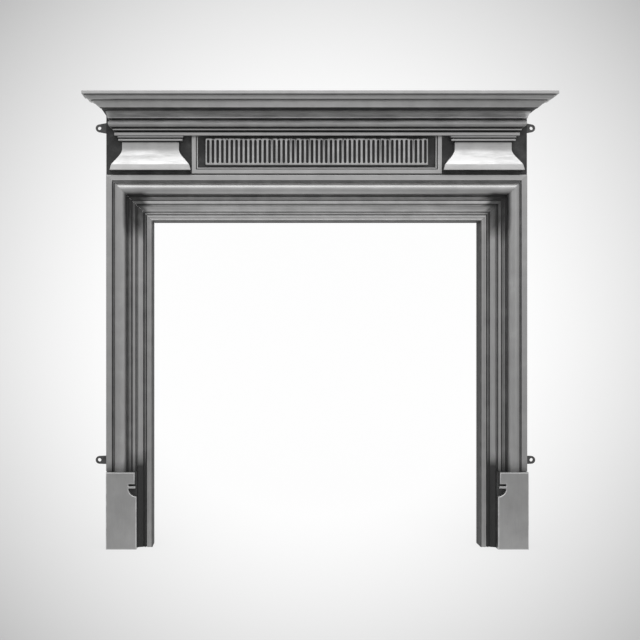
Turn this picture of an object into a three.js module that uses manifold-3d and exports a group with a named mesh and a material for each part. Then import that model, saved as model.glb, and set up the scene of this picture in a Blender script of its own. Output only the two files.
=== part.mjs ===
// Cast iron fire surround: two moulded legs, a lintel mitred to them, a panelled frieze, a mantel
// shelf and plinth blocks, each a hollow-backed casting, bolted together from behind.
// Millimetres. +X is to the right, +Z up, and the front faces -Y. The origin is on the floor, in the
// middle of the width and of the depth; the back stands against the wall.
import * as THREE from "three";
import { mergeVertices } from "three/addons/utils/BufferGeometryUtils.js";
import Module from "manifold-3d";

const wasm = await Module();
wasm.setup();

// ---------------------------------------------------------------- driving dimensions

// The opening, and what every casting shares.
const OPENING_WIDTH = 914;
const OPENING_HEIGHT = 908;
const SKIN = 7; // wall of every casting
const FIT = 0.3; // clearance where two pieces meet

// Moulded frame. Each member is [form, width, relief where it starts, relief where it ends], counted
// outwards from the opening; relief stands forward of the ground plane.
const FRAME_GROUND = 47; // ground plane of the mouldings, forward of the wall
const FOOT_MEMBERS = [
  ["ovolo", 1.5, 3.5, 5],
  ["flat", 3, 5],
  ["flat", 4.5, 4],
  ["flat", 6, 5],
  ["flat", 3.5, 0],
  ["flat", 3.5, 4],
  ["flat", 4, 0.5],
  ["cove", 15, 3.5, 11],
]; // the members that run down to the floor beside the plinths
const MIDDLE_MEMBERS = [
  ["flat", 5.5, 8],
  ["flat", 7.5, 14],
  ["flat", 4, 10],
  ["bead", 4, 11.5],
  ["bead", 4, 11.5],
  ["flat", 5, 11],
];
const ROLL_DIAMETER = 26; // the large half-round roll
const ROLL_RELIEF = 19; // the plane that the roll springs from
const OUTER_MEMBERS = [
  ["cove", 12, 19, 13],
  ["flat", 2, 9],
  ["flat", 15, 12],
  ["ovolo", 2, 12, 10],
];
const RIB_SPACING = 300; // largest distance between the stiffening ribs behind a moulding

// Plinth blocks, one in front of each leg's foot.
const PLINTH_HEIGHT = 212;
const PLINTH_DEPTH = 83; // face of the plinth, forward of the wall
const PLINTH_INSET = 3; // from the frame's outer edge
const PLINTH_FACING = 13; // thickness of the cut-out facing on the block
const STOP_CHEEK = 5; // the facing's inner edge beside the upper cheek of the stop
const STOP_WIDTH = 22; // how far the stop is cut into the facing
const STOP_NOTCH_TOP = 180;
const STOP_LEDGE_TOP = 174;
const STOP_LEDGE_HEIGHT = 6;
const STOP_LEDGE_OVERHANG = 3;

// Frieze.
const FRIEZE_HEIGHT = 164; // from the frame's top edge to the underside of the shelf
const BACKGROUND_DEPTH = 54; // the frieze's plain background, forward of the wall
const BED_MEMBERS = [
  ["flat", 8.5, 74],
  ["flat", 5.5, 66],
  ["flat", 4, 78],
  ["flat", 3.5, 72],
  ["bead", 19.5, 80],
  ["flat", 4, 80],
]; // bed mouldings, from the bottom up, depths forward of the wall
const BED_END = 99; // how far the bed mouldings' mitred ends stop short of the sides, less their depth
const NECK_MEMBERS = [
  ["bell", 12, 88, 122],
  ["flat", 1.5, 122],
]; // the hollow neck between the bed mouldings and the shelf, with square ends
const NECK_INSET = 8; // its ends, from the sides of the frieze
const PANEL_FOOT = 4; // from the frieze's lower edge to the panel frame
const PANEL_STILE = 11.5;
const PANEL_RELIEF = 8;
const PANEL_QUIRK = 2; // between the stile and its inner bead
const PANEL_BEAD = 3.5;
const PANEL_BEAD_RELIEF = 5;

// Fluted panel, set into the panel frame.
const FLUTE_COUNT = 47;
const FLUTE_PITCH = 13.1;
const FLUTE_WIDTH = 7.2;
const FLUTE_LENGTH = 65;
const FLUTE_DEPTH = 4.5;
const FLUTED_HEIGHT = 76;
const FLUTED_THICKNESS = 6.5;
const FLUTED_CORNER = 6;
const FLUTED_RAISE = 4.5; // from the inner bead of the lower rail to the fluted panel
const FLUTED_SIDE_GAP = 19.2; // from the inner bead of either stile

// Flared corner blocks, from the top down: [form, height, offset at the top, offset at the bottom];
// the offset widens the block to both sides, and a share of it to the front.
const BLOCK_PANEL_GAP = 2; // from the panel frame to the block's lip
const BLOCK_SIDE_GAP = 12; // from the lip to the side of the frieze
const BLOCK_DEPTH = 64; // at the neck, forward of the wall
const BLOCK_FRONT_SHARE = 0.4;
const BLOCK_MEMBERS = [
  ["flat", 4, 12],
  ["flat", 4, 3],
  ["flat", 5, 10],
  ["flat", 4, -1],
  ["flat", 18, 0],
  ["bell", 45, 0, 29],
  ["flat", 15, 29, 33],
];

// Mantel shelf. Its edge moulding, from the bottom up, with setbacks from the shelf's edge.
const SHELF_OVERHANG = 44; // past each side of the frame
const SHELF_DEPTH = 195;
const SHELF_MEMBERS = [
  ["ovolo", 13, -42, -27],
  ["flat", 3, -24],
  ["ovolo", 8, -19, -10],
  ["flat", 3, -7],
  ["flat", 7, 0],
  ["ovolo", 2, 0, -1.5],
];
const SOFFIT_WIDTH = 40; // level strip behind the foot of the edge moulding
const EAR_DEPTH = 55; // the overhanging ends, from the front edge to their back
const SHELF_RIB = 10; // depth of the ribs under the shelf's plate

// Fixing lugs at the wall, two on the frieze and two on the legs.
const LUG_THICKNESS = 5;
const LUG_REACH = 27; // from the side of the surround to the centre of the lug's hole
const LUG_NOSE = 11; // radius of its rounded end
const LUG_HOLE = 10;
const LUG_LEG = 32; // the leg that is bolted inside the casting
const UPPER_LUG_ROOT = 32;
const UPPER_LUG_GAP = 1; // from the frieze's top flange
const LOWER_LUG_ROOT = 24;
const LOWER_LUG_GAP = 4.7; // from the rib over the leg's foot

// Fasteners: shank diameter, width across the flats, head height and nut height.
const M8 = { shank: 8, flats: 13, head: 5.3, nut: 6.5 };
const M6 = { shank: 6, flats: 10, head: 4, nut: 5 };
const BOLT_DEPTH = 24; // centre line of the bolts, forward of the wall
const THREAD_GRIP = 20; // thread held by a boss
const THREAD_END = 3; // thread showing past a nut
const BOSS_DIAMETER = 22;

// ---------------------------------------------------------------- sizes that follow

const widthOf = (members) => members.reduce((sum, member) => sum + member[1], 0);
const ROLL = ["bead", ROLL_DIAMETER, ROLL_RELIEF];
const FRAME_MEMBERS = [...FOOT_MEMBERS, ...MIDDLE_MEMBERS, ROLL, ...OUTER_MEMBERS];
const FOOT_WIDTH = widthOf(FOOT_MEMBERS);
const ROLL_START = FOOT_WIDTH + widthOf(MIDDLE_MEMBERS);
const ROLL_END = ROLL_START + ROLL_DIAMETER;
const FRAME_BAND = widthOf(FRAME_MEMBERS);
const HALF_OPENING = OPENING_WIDTH / 2;
const HALF_BODY = HALF_OPENING + FRAME_BAND;
const FRAME_TOP = OPENING_HEIGHT + FRAME_BAND;
const FRIEZE_BASE = FRAME_TOP + FIT;
const FRIEZE_TOP = FRAME_TOP + FRIEZE_HEIGHT;
const NECK_BASE = FRIEZE_TOP - widthOf(NECK_MEMBERS);
const BED_BASE = NECK_BASE - widthOf(BED_MEMBERS);
const SHELF_BASE = FRIEZE_TOP + FIT;
const SHELF_TOP = SHELF_BASE + widthOf(SHELF_MEMBERS);
const SHELF_HALF = HALF_BODY + SHELF_OVERHANG;
const PLINTH_TOP = PLINTH_HEIGHT + FIT; // where the leg's mouldings stop
const UPPER_LUG_HEIGHT = FRIEZE_TOP - SKIN - UPPER_LUG_GAP - UPPER_LUG_ROOT / 2;
const LOWER_LUG_HEIGHT = PLINTH_TOP + SKIN + LOWER_LUG_GAP + LOWER_LUG_ROOT / 2;
const FLUTED_WIDTH = FLUTE_COUNT * FLUTE_PITCH + FLUTE_PITCH - FLUTE_WIDTH;
const PANEL_INNER = FLUTED_WIDTH / 2 + FLUTED_SIDE_GAP;
const PANEL_HALF_WIDTH = PANEL_INNER + PANEL_BEAD + PANEL_QUIRK + PANEL_STILE;
const BLOCK_INNER = PANEL_HALF_WIDTH + BLOCK_PANEL_GAP;
const BLOCK_OUTER = HALF_BODY - BLOCK_SIDE_GAP;
const BLOCK_CENTRE = (BLOCK_INNER + BLOCK_OUTER) / 2;
const BLOCK_SWELL = Math.max(...BLOCK_MEMBERS.map(([, , from, to = from]) => Math.max(from, to)));
const BLOCK_HALF_WIDTH = (BLOCK_OUTER - BLOCK_INNER) / 2 - BLOCK_SWELL; // at the neck
const MITRE_GAP = FIT * Math.SQRT1_2; // along the length of either casting
const MITRE_FLANGE = SKIN * Math.SQRT2;
const CUT = 1; // how far a cutter runs past the face that it opens
const CURVE_STEPS = 5;
const BEAD_STEPS = 8;
const ROUND_STEPS = 16;

const RIGHT = new THREE.Vector3(1, 0, 0);
const LEFT = new THREE.Vector3(-1, 0, 0);
const FRONT = new THREE.Vector3(0, -1, 0);
const BACK = new THREE.Vector3(0, 1, 0);
const UP = new THREE.Vector3(0, 0, 1);
const DOWN = new THREE.Vector3(0, 0, -1);

// ---------------------------------------------------------------- solids

function solid(geometry) {
  const bare = geometry.clone();
  bare.deleteAttribute("normal");
  bare.deleteAttribute("uv");
  const merged = mergeVertices(bare, 1e-4);
  const vertProperties = new Float32Array(merged.attributes.position.array);
  const triVerts = new Uint32Array(merged.index.array);
  const mesh = new wasm.Mesh({ numProp: 3, vertProperties, triVerts });
  mesh.merge();
  return new wasm.Manifold(mesh);
}

function geometryOf(manifold) {
  const mesh = manifold.getMesh();
  const geometry = new THREE.BufferGeometry();
  geometry.setAttribute("position", new THREE.BufferAttribute(mesh.vertProperties, 3));
  geometry.setIndex(new THREE.BufferAttribute(mesh.triVerts, 1));
  geometry.computeVertexNormals();
  return geometry;
}

// The same piece for the other side of the surround.
function mirrored(geometry) {
  const copy = geometry.clone();
  copy.applyMatrix4(new THREE.Matrix4().makeScale(-1, 1, 1));
  const index = copy.index.array;
  for (let i = 0; i < index.length; i += 3) {
    [index[i], index[i + 1]] = [index[i + 1], index[i]];
  }
  copy.computeVertexNormals();
  return copy;
}

// An outline in the plane of u and v, extruded along the third axis; u, v and that axis are
// right-handed.
function prism(outline, [u, v, along], from, to, holes = []) {
  const shape = new THREE.Shape(outline);
  shape.holes = holes.map((hole) => new THREE.Path(hole));
  const geometry = new THREE.ExtrudeGeometry(shape, { depth: to - from, bevelEnabled: false });
  geometry.translate(0, 0, from);
  geometry.applyMatrix4(new THREE.Matrix4().makeBasis(u, v, along));
  return solid(geometry);
}

const ELEVATION = [RIGHT, UP, FRONT]; // points are (x, height), the solid runs forward of the wall
const LENGTHWISE = [UP, FRONT, RIGHT]; // points are (height, depth), the solid runs across
const LEFT_END = [UP, LEFT, FRONT]; // points are (height, distance to the left)
const RIGHT_END = [UP, RIGHT, BACK]; // points are (height, distance to the right)

// A box between two corners given as (x, depth forward of the wall, height).
function box([x0, d0, z0], [x1, d1, z1]) {
  const geometry = new THREE.BoxGeometry(x1 - x0, d1 - d0, z1 - z0);
  geometry.translate((x0 + x1) / 2, -(d0 + d1) / 2, (z0 + z1) / 2);
  return solid(geometry);
}

// A round bar from a point, along a direction.
function bar(radius, from, direction, length) {
  const geometry = new THREE.CylinderGeometry(radius, radius, length, ROUND_STEPS);
  geometry.translate(0, length / 2, 0);
  geometry.applyQuaternion(new THREE.Quaternion().setFromUnitVectors(BACK, direction));
  geometry.translate(from.x, from.y, from.z);
  return solid(geometry);
}

const joined = (first, ...others) => others.reduce((sum, other) => sum.add(other), first);
const cut = (first, ...others) => others.reduce((rest, other) => rest.subtract(other), first);
const at = (x, depth, height) => new THREE.Vector3(x, -depth, height);
const points = (...pairs) => pairs.map(([u, v]) => new THREE.Vector2(u, v));

// ---------------------------------------------------------------- mouldings

const FORMS = {
  flat: (a, b) => [a, b],
  bead: (a, b) => {
    const radius = (b.x - a.x) / 2;
    return new THREE.EllipseCurve(a.x + radius, a.y, radius, radius, Math.PI, 0, true).getPoints(BEAD_STEPS);
  },
  cove: (a, b) => {
    const corner = b.y > a.y ? new THREE.Vector2(b.x, a.y) : new THREE.Vector2(a.x, b.y);
    return new THREE.QuadraticBezierCurve(a, corner, b).getPoints(CURVE_STEPS);
  },
  ovolo: (a, b) => {
    const corner = b.y > a.y ? new THREE.Vector2(a.x, b.y) : new THREE.Vector2(b.x, a.y);
    return new THREE.QuadraticBezierCurve(a, corner, b).getPoints(CURVE_STEPS);
  },
  bell: (a, b) => {
    const hollow = new THREE.Vector2(a.x + (b.x - a.x) / 3, a.y);
    const swell = new THREE.Vector2(a.x + ((b.x - a.x) * 2) / 3, a.y + ((b.y - a.y) * 2) / 3);
    return new THREE.CubicBezierCurve(a, hollow, swell, b).getPoints(2 * CURVE_STEPS);
  },
};

// The outline of a row of members that starts at a place along u and stands on a base in v.
function mouldingOutline(members, start, base) {
  const line = [];
  let along = start;
  for (const [form, width, from, to = from] of members) {
    const a = new THREE.Vector2(along, base + from);
    const b = new THREE.Vector2(along + width, base + to);
    line.push(...FORMS[form](a, b));
    along += width;
  }
  return line.filter((point, i) => i === 0 || point.distanceTo(line[i - 1]) > 1e-6);
}

// The outline closed by a straight back at a constant v.
function closedBy(line, back) {
  const first = line[0];
  const last = line[line.length - 1];
  return [new THREE.Vector2(first.x, back), ...line, new THREE.Vector2(last.x, back)];
}

// A horizontal moulding with mitred returns at both ends: its outline along the front, cut by the
// same outline set to the half length at either end.
function returnedMoulding(members, start, frontBase, endBase, back, front) {
  const face = closedBy(mouldingOutline(members, start, frontBase), back);
  const end = closedBy(mouldingOutline(members, start, endBase), 0);
  const reach = SHELF_HALF + CUT;
  const ends = prism(end, LEFT_END, back - CUT, front).add(prism(end, RIGHT_END, -front, CUT - back));
  return prism(face, LENGTHWISE, -reach, reach).intersect(ends);
}

// ---------------------------------------------------------------- frame: legs and lintel

// Points are (distance from the opening, depth forward of the wall).
const frameSection = closedBy(mouldingOutline(FRAME_MEMBERS, 0, FRAME_GROUND), 0);
const frameShallow = points(
  [SKIN, -CUT],
  [SKIN, FRAME_GROUND - SKIN],
  [FRAME_BAND - SKIN, FRAME_GROUND - SKIN],
  [FRAME_BAND - SKIN, -CUT],
);
const frameHollow = points(
  [SKIN, -CUT],
  [SKIN, FRAME_GROUND - SKIN],
  [ROLL_START + SKIN, FRAME_GROUND - SKIN],
  [ROLL_START + SKIN, FRAME_GROUND + ROLL_RELIEF],
  [ROLL_END - SKIN, FRAME_GROUND + ROLL_RELIEF],
  [ROLL_END - SKIN, FRAME_GROUND],
  [FRAME_BAND - SKIN, FRAME_GROUND],
  [FRAME_BAND - SKIN, -CUT],
);
const sectionAt = (outline, shift) => outline.map((p) => new THREE.Vector2(p.x + shift, p.y));
const LEG_SECTION = [LEFT, FRONT, UP]; // points are (distance to the left, depth), the solid runs up

// Equal bays between ribs of one wall thickness.
function bays(from, to) {
  const count = Math.max(1, Math.ceil((to - from) / RIB_SPACING));
  const length = (to - from - (count - 1) * SKIN) / count;
  return Array.from({ length: count }, (_, i) => {
    const start = from + i * (length + SKIN);
    return [start, start + length];
  });
}

const mitreNormal = new THREE.Vector3(1, 0, 1).normalize(); // from the left leg into the lintel
const mitreBoltPlaces = [FOOT_WIDTH - SKIN, ROLL_END + SKIN];
const onMitre = (distance) => at(-HALF_OPENING - distance, BOLT_DEPTH, OPENING_HEIGHT + distance);
const mirrorPoint = (p) => new THREE.Vector3(-p.x, p.y, p.z);

function mitreHoles(mirror) {
  const normal = mirror ? mirrorPoint(mitreNormal) : mitreNormal;
  const reach = 2 * SKIN;
  return mitreBoltPlaces.map((distance) => {
    const centre = mirror ? mirrorPoint(onMitre(distance)) : onMitre(distance);
    return bar(M8.shank / 2 + FIT, centre.clone().addScaledVector(normal, -reach), normal, 2 * reach);
  });
}

// Everything of the left leg that lies below the mitre, lowered by a drop.
function belowMitre(drop) {
  const line = OPENING_HEIGHT - MITRE_GAP - drop;
  const outline = points(
    [-HALF_OPENING + CUT, -CUT],
    [-HALF_OPENING + CUT, line - CUT],
    [-HALF_BODY - CUT, line + FRAME_BAND + CUT],
    [-HALF_BODY - CUT, -CUT],
  );
  return prism(outline, ELEVATION, -2 * CUT, SHELF_DEPTH);
}

const legInner = sectionAt(frameHollow, HALF_OPENING);
const legInnerShallow = sectionAt(frameShallow, HALF_OPENING);
const plinthStuds = [PLINTH_HEIGHT * 0.25, PLINTH_HEIGHT * 0.75];
const PLINTH_INNER = HALF_OPENING + FOOT_WIDTH;
const PLINTH_OUTER = HALF_BODY - PLINTH_INSET;
const PLINTH_CENTRE = (PLINTH_INNER + PLINTH_OUTER) / 2;

function leftLeg() {
  const moulded = prism(sectionAt(frameSection, HALF_OPENING), LEG_SECTION, 0, FRAME_TOP);
  const plinthSeat = box(
    [-HALF_BODY - CUT, FRAME_GROUND, -CUT],
    [-PLINTH_INNER + FIT, SHELF_DEPTH, PLINTH_TOP],
  );
  const footHollow = prism(legInnerShallow, LEG_SECTION, -CUT, PLINTH_TOP);
  const upper = bays(PLINTH_TOP + SKIN, FRAME_TOP);
  const upperHollows = upper.map(([from, to]) => prism(legInner, LEG_SECTION, from, to));
  const hollow = joined(footHollow, ...upperHollows).intersect(belowMitre(MITRE_FLANGE));
  const studHoles = plinthStuds.map((height) =>
    bar(M8.shank / 2 + FIT, at(-PLINTH_CENTRE, SKIN, height), FRONT, PLINTH_DEPTH),
  );
  const seat = lugSeat(LOWER_LUG_HEIGHT, LOWER_LUG_ROOT, -1);
  return cut(moulded, hollow, plinthSeat, ...studHoles, ...mitreHoles(false), seat)
    .intersect(belowMitre(0));
}

// Everything of the lintel that lies above both mitres, narrowed by an inset.
function aboveMitres(inset) {
  const lower = HALF_OPENING - CUT - MITRE_GAP - inset;
  const upper = HALF_BODY + CUT - MITRE_GAP - inset;
  const outline = points(
    [-lower, OPENING_HEIGHT - CUT],
    [lower, OPENING_HEIGHT - CUT],
    [upper, FRAME_TOP + CUT],
    [-upper, FRAME_TOP + CUT],
  );
  return prism(outline, ELEVATION, -2 * CUT, SHELF_DEPTH);
}

const FRIEZE_BOLTS = [-0.84, -0.28, 0.28, 0.84].map((share) => share * HALF_OPENING);

function lintel() {
  const section = sectionAt(frameSection, OPENING_HEIGHT);
  const inner = sectionAt(frameHollow, OPENING_HEIGHT);
  const moulded = prism(section, LENGTHWISE, -HALF_BODY, HALF_BODY);
  const hollows = bays(-HALF_BODY, HALF_BODY).map(([from, to]) => prism(inner, LENGTHWISE, from, to));
  const hollow = joined(...hollows).intersect(aboveMitres(MITRE_FLANGE));
  const boltHoles = FRIEZE_BOLTS.map((x) =>
    bar(M8.shank / 2 + FIT, at(x, BOLT_DEPTH, FRAME_TOP - 2 * SKIN), UP, 3 * SKIN),
  );
  return cut(moulded, hollow, ...mitreHoles(false), ...mitreHoles(true), ...boltHoles)
    .intersect(aboveMitres(0));
}

// ---------------------------------------------------------------- plinth blocks

// The facing's outline for the left block: its upper inner corner is cut into a stop, which has a
// cheek, a notch, a thin ledge and a hollow quarter circle.
function plinthFacing() {
  const edge = -PLINTH_INNER;
  const deep = edge - STOP_WIDTH;
  const ledgeFoot = STOP_LEDGE_TOP - STOP_LEDGE_HEIGHT;
  const hollow = new THREE.EllipseCurve(edge, ledgeFoot, STOP_WIDTH, STOP_WIDTH, Math.PI, 1.5 * Math.PI);
  return [
    ...points(
      [-PLINTH_OUTER, 0],
      [-PLINTH_OUTER, PLINTH_HEIGHT],
      [edge - STOP_CHEEK, PLINTH_HEIGHT],
      [edge - STOP_CHEEK, STOP_NOTCH_TOP],
      [deep, STOP_NOTCH_TOP],
      [deep, STOP_LEDGE_TOP],
      [edge - STOP_LEDGE_OVERHANG, STOP_LEDGE_TOP],
      [edge - STOP_LEDGE_OVERHANG, ledgeFoot],
    ),
    ...hollow.getPoints(BEAD_STEPS),
    new THREE.Vector2(edge, 0),
  ];
}

function leftPlinth() {
  const back = FRAME_GROUND + FIT;
  const ground = PLINTH_DEPTH - PLINTH_FACING;
  const block = box([-PLINTH_OUTER, back, 0], [-PLINTH_INNER, ground, PLINTH_HEIGHT]);
  const facing = prism(plinthFacing(), ELEVATION, ground - CUT, PLINTH_DEPTH);
  const wide = box(
    [-PLINTH_OUTER + SKIN, back - CUT, SKIN],
    [-PLINTH_INNER - SKIN, ground - SKIN, PLINTH_HEIGHT - SKIN],
  );
  const deep = box(
    [-PLINTH_OUTER + SKIN, back - CUT, SKIN],
    [-PLINTH_INNER - STOP_WIDTH - SKIN, PLINTH_DEPTH - SKIN, PLINTH_HEIGHT - SKIN],
  );
  const studs = plinthStuds.flatMap((height) => {
    const root = at(-PLINTH_CENTRE, PLINTH_DEPTH - SKIN + CUT, height);
    const boss = bar(BOSS_DIAMETER / 2, root, BACK, PLINTH_DEPTH - SKIN + CUT - back);
    const stud = bar(M8.shank / 2, root, BACK, PLINTH_DEPTH + CUT - studEnd(FRAME_GROUND - SKIN, M8) - SKIN);
    return [boss, stud];
  });
  return joined(cut(block.add(facing), wide, deep), ...studs);
}

// Depth of the tip of a stud whose nut sits behind a wall with its rear face at a depth.
function studEnd(rear, size) {
  return rear - FIT - size.nut - THREAD_END;
}

// ---------------------------------------------------------------- frieze

const FLUTED_BASE = FRIEZE_BASE + PANEL_FOOT + PANEL_STILE + PANEL_QUIRK + PANEL_BEAD + FLUTED_RAISE;
const FLUTED_CENTRE = FLUTED_BASE + FLUTED_HEIGHT / 2;
const FLUTED_PINS = [-1, 1].flatMap((i) => [-1, 1].map((j) => {
  return [(i * (FLUTED_WIDTH - FLUTED_HEIGHT)) / 2, FLUTED_CENTRE + (j * FLUTED_HEIGHT) / 4];
}));
const BLOCK_HEIGHT = widthOf(BLOCK_MEMBERS);
const BLOCK_TOP = BED_BASE - FIT;
const BLOCK_STUD_HEIGHT = BLOCK_TOP - BLOCK_HEIGHT / 2;
const BLOCK_STUDS = [-1, 1].map((i) => BLOCK_CENTRE + (i * BLOCK_HALF_WIDTH) / 2);
const SHELF_BOLTS = [-0.82, -0.36, 0.36, 0.82].map((share) => share * HALF_BODY);

// Three sides of a rectangle, open at the top: two stiles and the rail below.
function panelBand(outer, width, foot, relief) {
  const inner = outer - width;
  const outline = points(
    [-outer, foot],
    [outer, foot],
    [outer, BED_BASE + CUT],
    [inner, BED_BASE + CUT],
    [inner, foot + width],
    [-inner, foot + width],
    [-inner, BED_BASE + CUT],
    [-outer, BED_BASE + CUT],
  );
  return prism(outline, ELEVATION, BACKGROUND_DEPTH - CUT, BACKGROUND_DEPTH + relief);
}

function frieze() {
  const slab = box([-HALF_BODY, 0, FRIEZE_BASE], [HALF_BODY, BACKGROUND_DEPTH, FRIEZE_TOP]);
  const bed = returnedMoulding(
    BED_MEMBERS, BED_BASE, 0, HALF_BODY - BED_END, BACKGROUND_DEPTH - CUT, SHELF_DEPTH,
  );
  const tray = box([-HALF_BODY, -CUT, FRIEZE_BASE], [HALF_BODY, BACKGROUND_DEPTH - SKIN, FRIEZE_TOP]);
  const neckLine = closedBy(mouldingOutline(NECK_MEMBERS, NECK_BASE, 0), BACKGROUND_DEPTH - CUT);
  const neck = prism(neckLine, LENGTHWISE, NECK_INSET - HALF_BODY, HALF_BODY - NECK_INSET);
  const lowest = Math.min(...BED_MEMBERS.map((member) => member[2]));
  const quirk = BED_MEMBERS[BED_MEMBERS.length - 1];
  const hollowEnd = HALF_BODY - BED_END + BACKGROUND_DEPTH - SKIN;
  const bedHollow = box([-hollowEnd, 0, BED_BASE + SKIN], [hollowEnd, lowest - SKIN, FRIEZE_TOP]);
  const neckHollow = box(
    [-hollowEnd, 0, NECK_BASE - 2 * SKIN],
    [hollowEnd, quirk[2] - SKIN, FRIEZE_TOP],
  );
  const bayBoxes = bays(-HALF_BODY + SKIN, HALF_BODY - SKIN).map(([from, to]) =>
    box([from, -CUT, FRIEZE_BASE + SKIN], [to, SHELF_DEPTH, FRIEZE_TOP - SKIN]),
  );
  const hollow = joined(...bayBoxes).intersect(joined(tray, bedHollow, neckHollow));
  const foot = FRIEZE_BASE + PANEL_FOOT;
  const beadOuter = PANEL_HALF_WIDTH - PANEL_STILE - PANEL_QUIRK;
  const stiles = panelBand(PANEL_HALF_WIDTH, PANEL_STILE, foot, PANEL_RELIEF);
  const bead = panelBand(beadOuter, PANEL_BEAD, foot + PANEL_STILE + PANEL_QUIRK, PANEL_BEAD_RELIEF);
  const behind = (x, height, size) => bar(size.shank / 2 + FIT, at(x, SKIN, height), FRONT, BACKGROUND_DEPTH);
  const pinHoles = FLUTED_PINS.map(([x, height]) => behind(x, height, M6));
  const studHoles = BLOCK_STUDS.flatMap((x) => [x, -x]).map((x) => behind(x, BLOCK_STUD_HEIGHT, M8));
  const upward = (x, height) => bar(M8.shank / 2 + FIT, at(x, BOLT_DEPTH, height), UP, 3 * SKIN);
  const lowerHoles = FRIEZE_BOLTS.map((x) => upward(x, FRIEZE_BASE - SKIN));
  const upperHoles = SHELF_BOLTS.map((x) => upward(x, FRIEZE_TOP - 2 * SKIN));
  const lugSeats = [-1, 1].map((side) => lugSeat(UPPER_LUG_HEIGHT, UPPER_LUG_ROOT, side));
  const shell = cut(joined(slab, bed, neck, stiles, bead), hollow);
  return cut(shell, ...pinHoles, ...studHoles, ...lowerHoles, ...upperHoles, ...lugSeats);
}

// ---------------------------------------------------------------- fluted panel

// A rectangle with rounded corners, centred on a point.
function roundedRectangle(x, y, width, height, radius) {
  const corners = [[1, -1, -0.5], [1, 1, 0], [-1, 1, 0.5], [-1, -1, 1]];
  return corners.flatMap(([i, j, turn]) => {
    const centreX = x + i * (width / 2 - radius);
    const centreY = y + j * (height / 2 - radius);
    const start = turn * Math.PI;
    const arc = new THREE.EllipseCurve(centreX, centreY, radius, radius, start, start + Math.PI / 2);
    return arc.getPoints(3);
  });
}

function flutedPanel() {
  const back = BACKGROUND_DEPTH + FIT;
  const front = back + FLUTED_THICKNESS;
  const face = roundedRectangle(0, FLUTED_CENTRE, FLUTED_WIDTH, FLUTED_HEIGHT, FLUTED_CORNER);
  const flutes = Array.from({ length: FLUTE_COUNT }, (_, i) => {
    const x = (i - (FLUTE_COUNT - 1) / 2) * FLUTE_PITCH;
    return roundedRectangle(x, FLUTED_CENTRE, FLUTE_WIDTH, FLUTE_LENGTH, FLUTE_WIDTH * 0.42);
  });
  const plate = prism(face, ELEVATION, back, front - FLUTE_DEPTH);
  const grid = prism(face, ELEVATION, front - FLUTE_DEPTH, front, flutes);
  const length = back + FIT - studEnd(BACKGROUND_DEPTH - SKIN, M6);
  const pins = FLUTED_PINS.map(([x, height]) => bar(M6.shank / 2, at(x, back + FIT, height), BACK, length));
  return joined(plate, grid, ...pins);
}

// ---------------------------------------------------------------- corner blocks

function rightCornerBlock() {
  const back = BACKGROUND_DEPTH + FIT;
  const base = BLOCK_TOP - BLOCK_HEIGHT;
  const upward = [...BLOCK_MEMBERS].reverse().map(([form, height, from, to = from]) => [form, height, from, to]);
  // The members are listed from the top down, so the outline is drawn on heights that run down.
  const line = mouldingOutline(upward.reverse(), 0, 0).map((p) => new THREE.Vector2(BLOCK_TOP - p.x, p.y));
  const shifted = (by, share) => line.map((p) => new THREE.Vector2(p.x, by + share * p.y));
  const front = shifted(BLOCK_DEPTH, BLOCK_FRONT_SHARE);
  const face = prism(closedBy(front, back), LENGTHWISE, 0, HALF_BODY);
  const half = closedBy(shifted(BLOCK_HALF_WIDTH, 1), 0);
  const outer = half.map((p) => new THREE.Vector2(p.x, BLOCK_CENTRE + p.y));
  const inner = half.map((p) => new THREE.Vector2(p.x, BLOCK_CENTRE - p.y));
  const sides = prism(outer, RIGHT_END, -SHELF_DEPTH, 0).add(prism(inner, RIGHT_END, -SHELF_DEPTH, 0));
  const lip = BLOCK_MEMBERS[BLOCK_MEMBERS.length - 1];
  const reach = BLOCK_HALF_WIDTH - SKIN;
  const lipDepth = BLOCK_DEPTH + BLOCK_FRONT_SHARE * lip[2];
  const pocket = prism(
    points(
      [base + SKIN, back - CUT],
      [base + SKIN, lipDepth - SKIN],
      [base + lip[1], lipDepth - SKIN],
      [BLOCK_STUD_HEIGHT - BOSS_DIAMETER / 2, back - CUT],
    ),
    LENGTHWISE, BLOCK_CENTRE - reach, BLOCK_CENTRE + reach,
  );
  const length = back + FIT - studEnd(BACKGROUND_DEPTH - SKIN, M8);
  const studs = BLOCK_STUDS.map((x) => bar(M8.shank / 2, at(x, back + FIT, BLOCK_STUD_HEIGHT), BACK, length));
  return joined(cut(face.intersect(sides), pocket), ...studs);
}

// ---------------------------------------------------------------- mantel shelf

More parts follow.
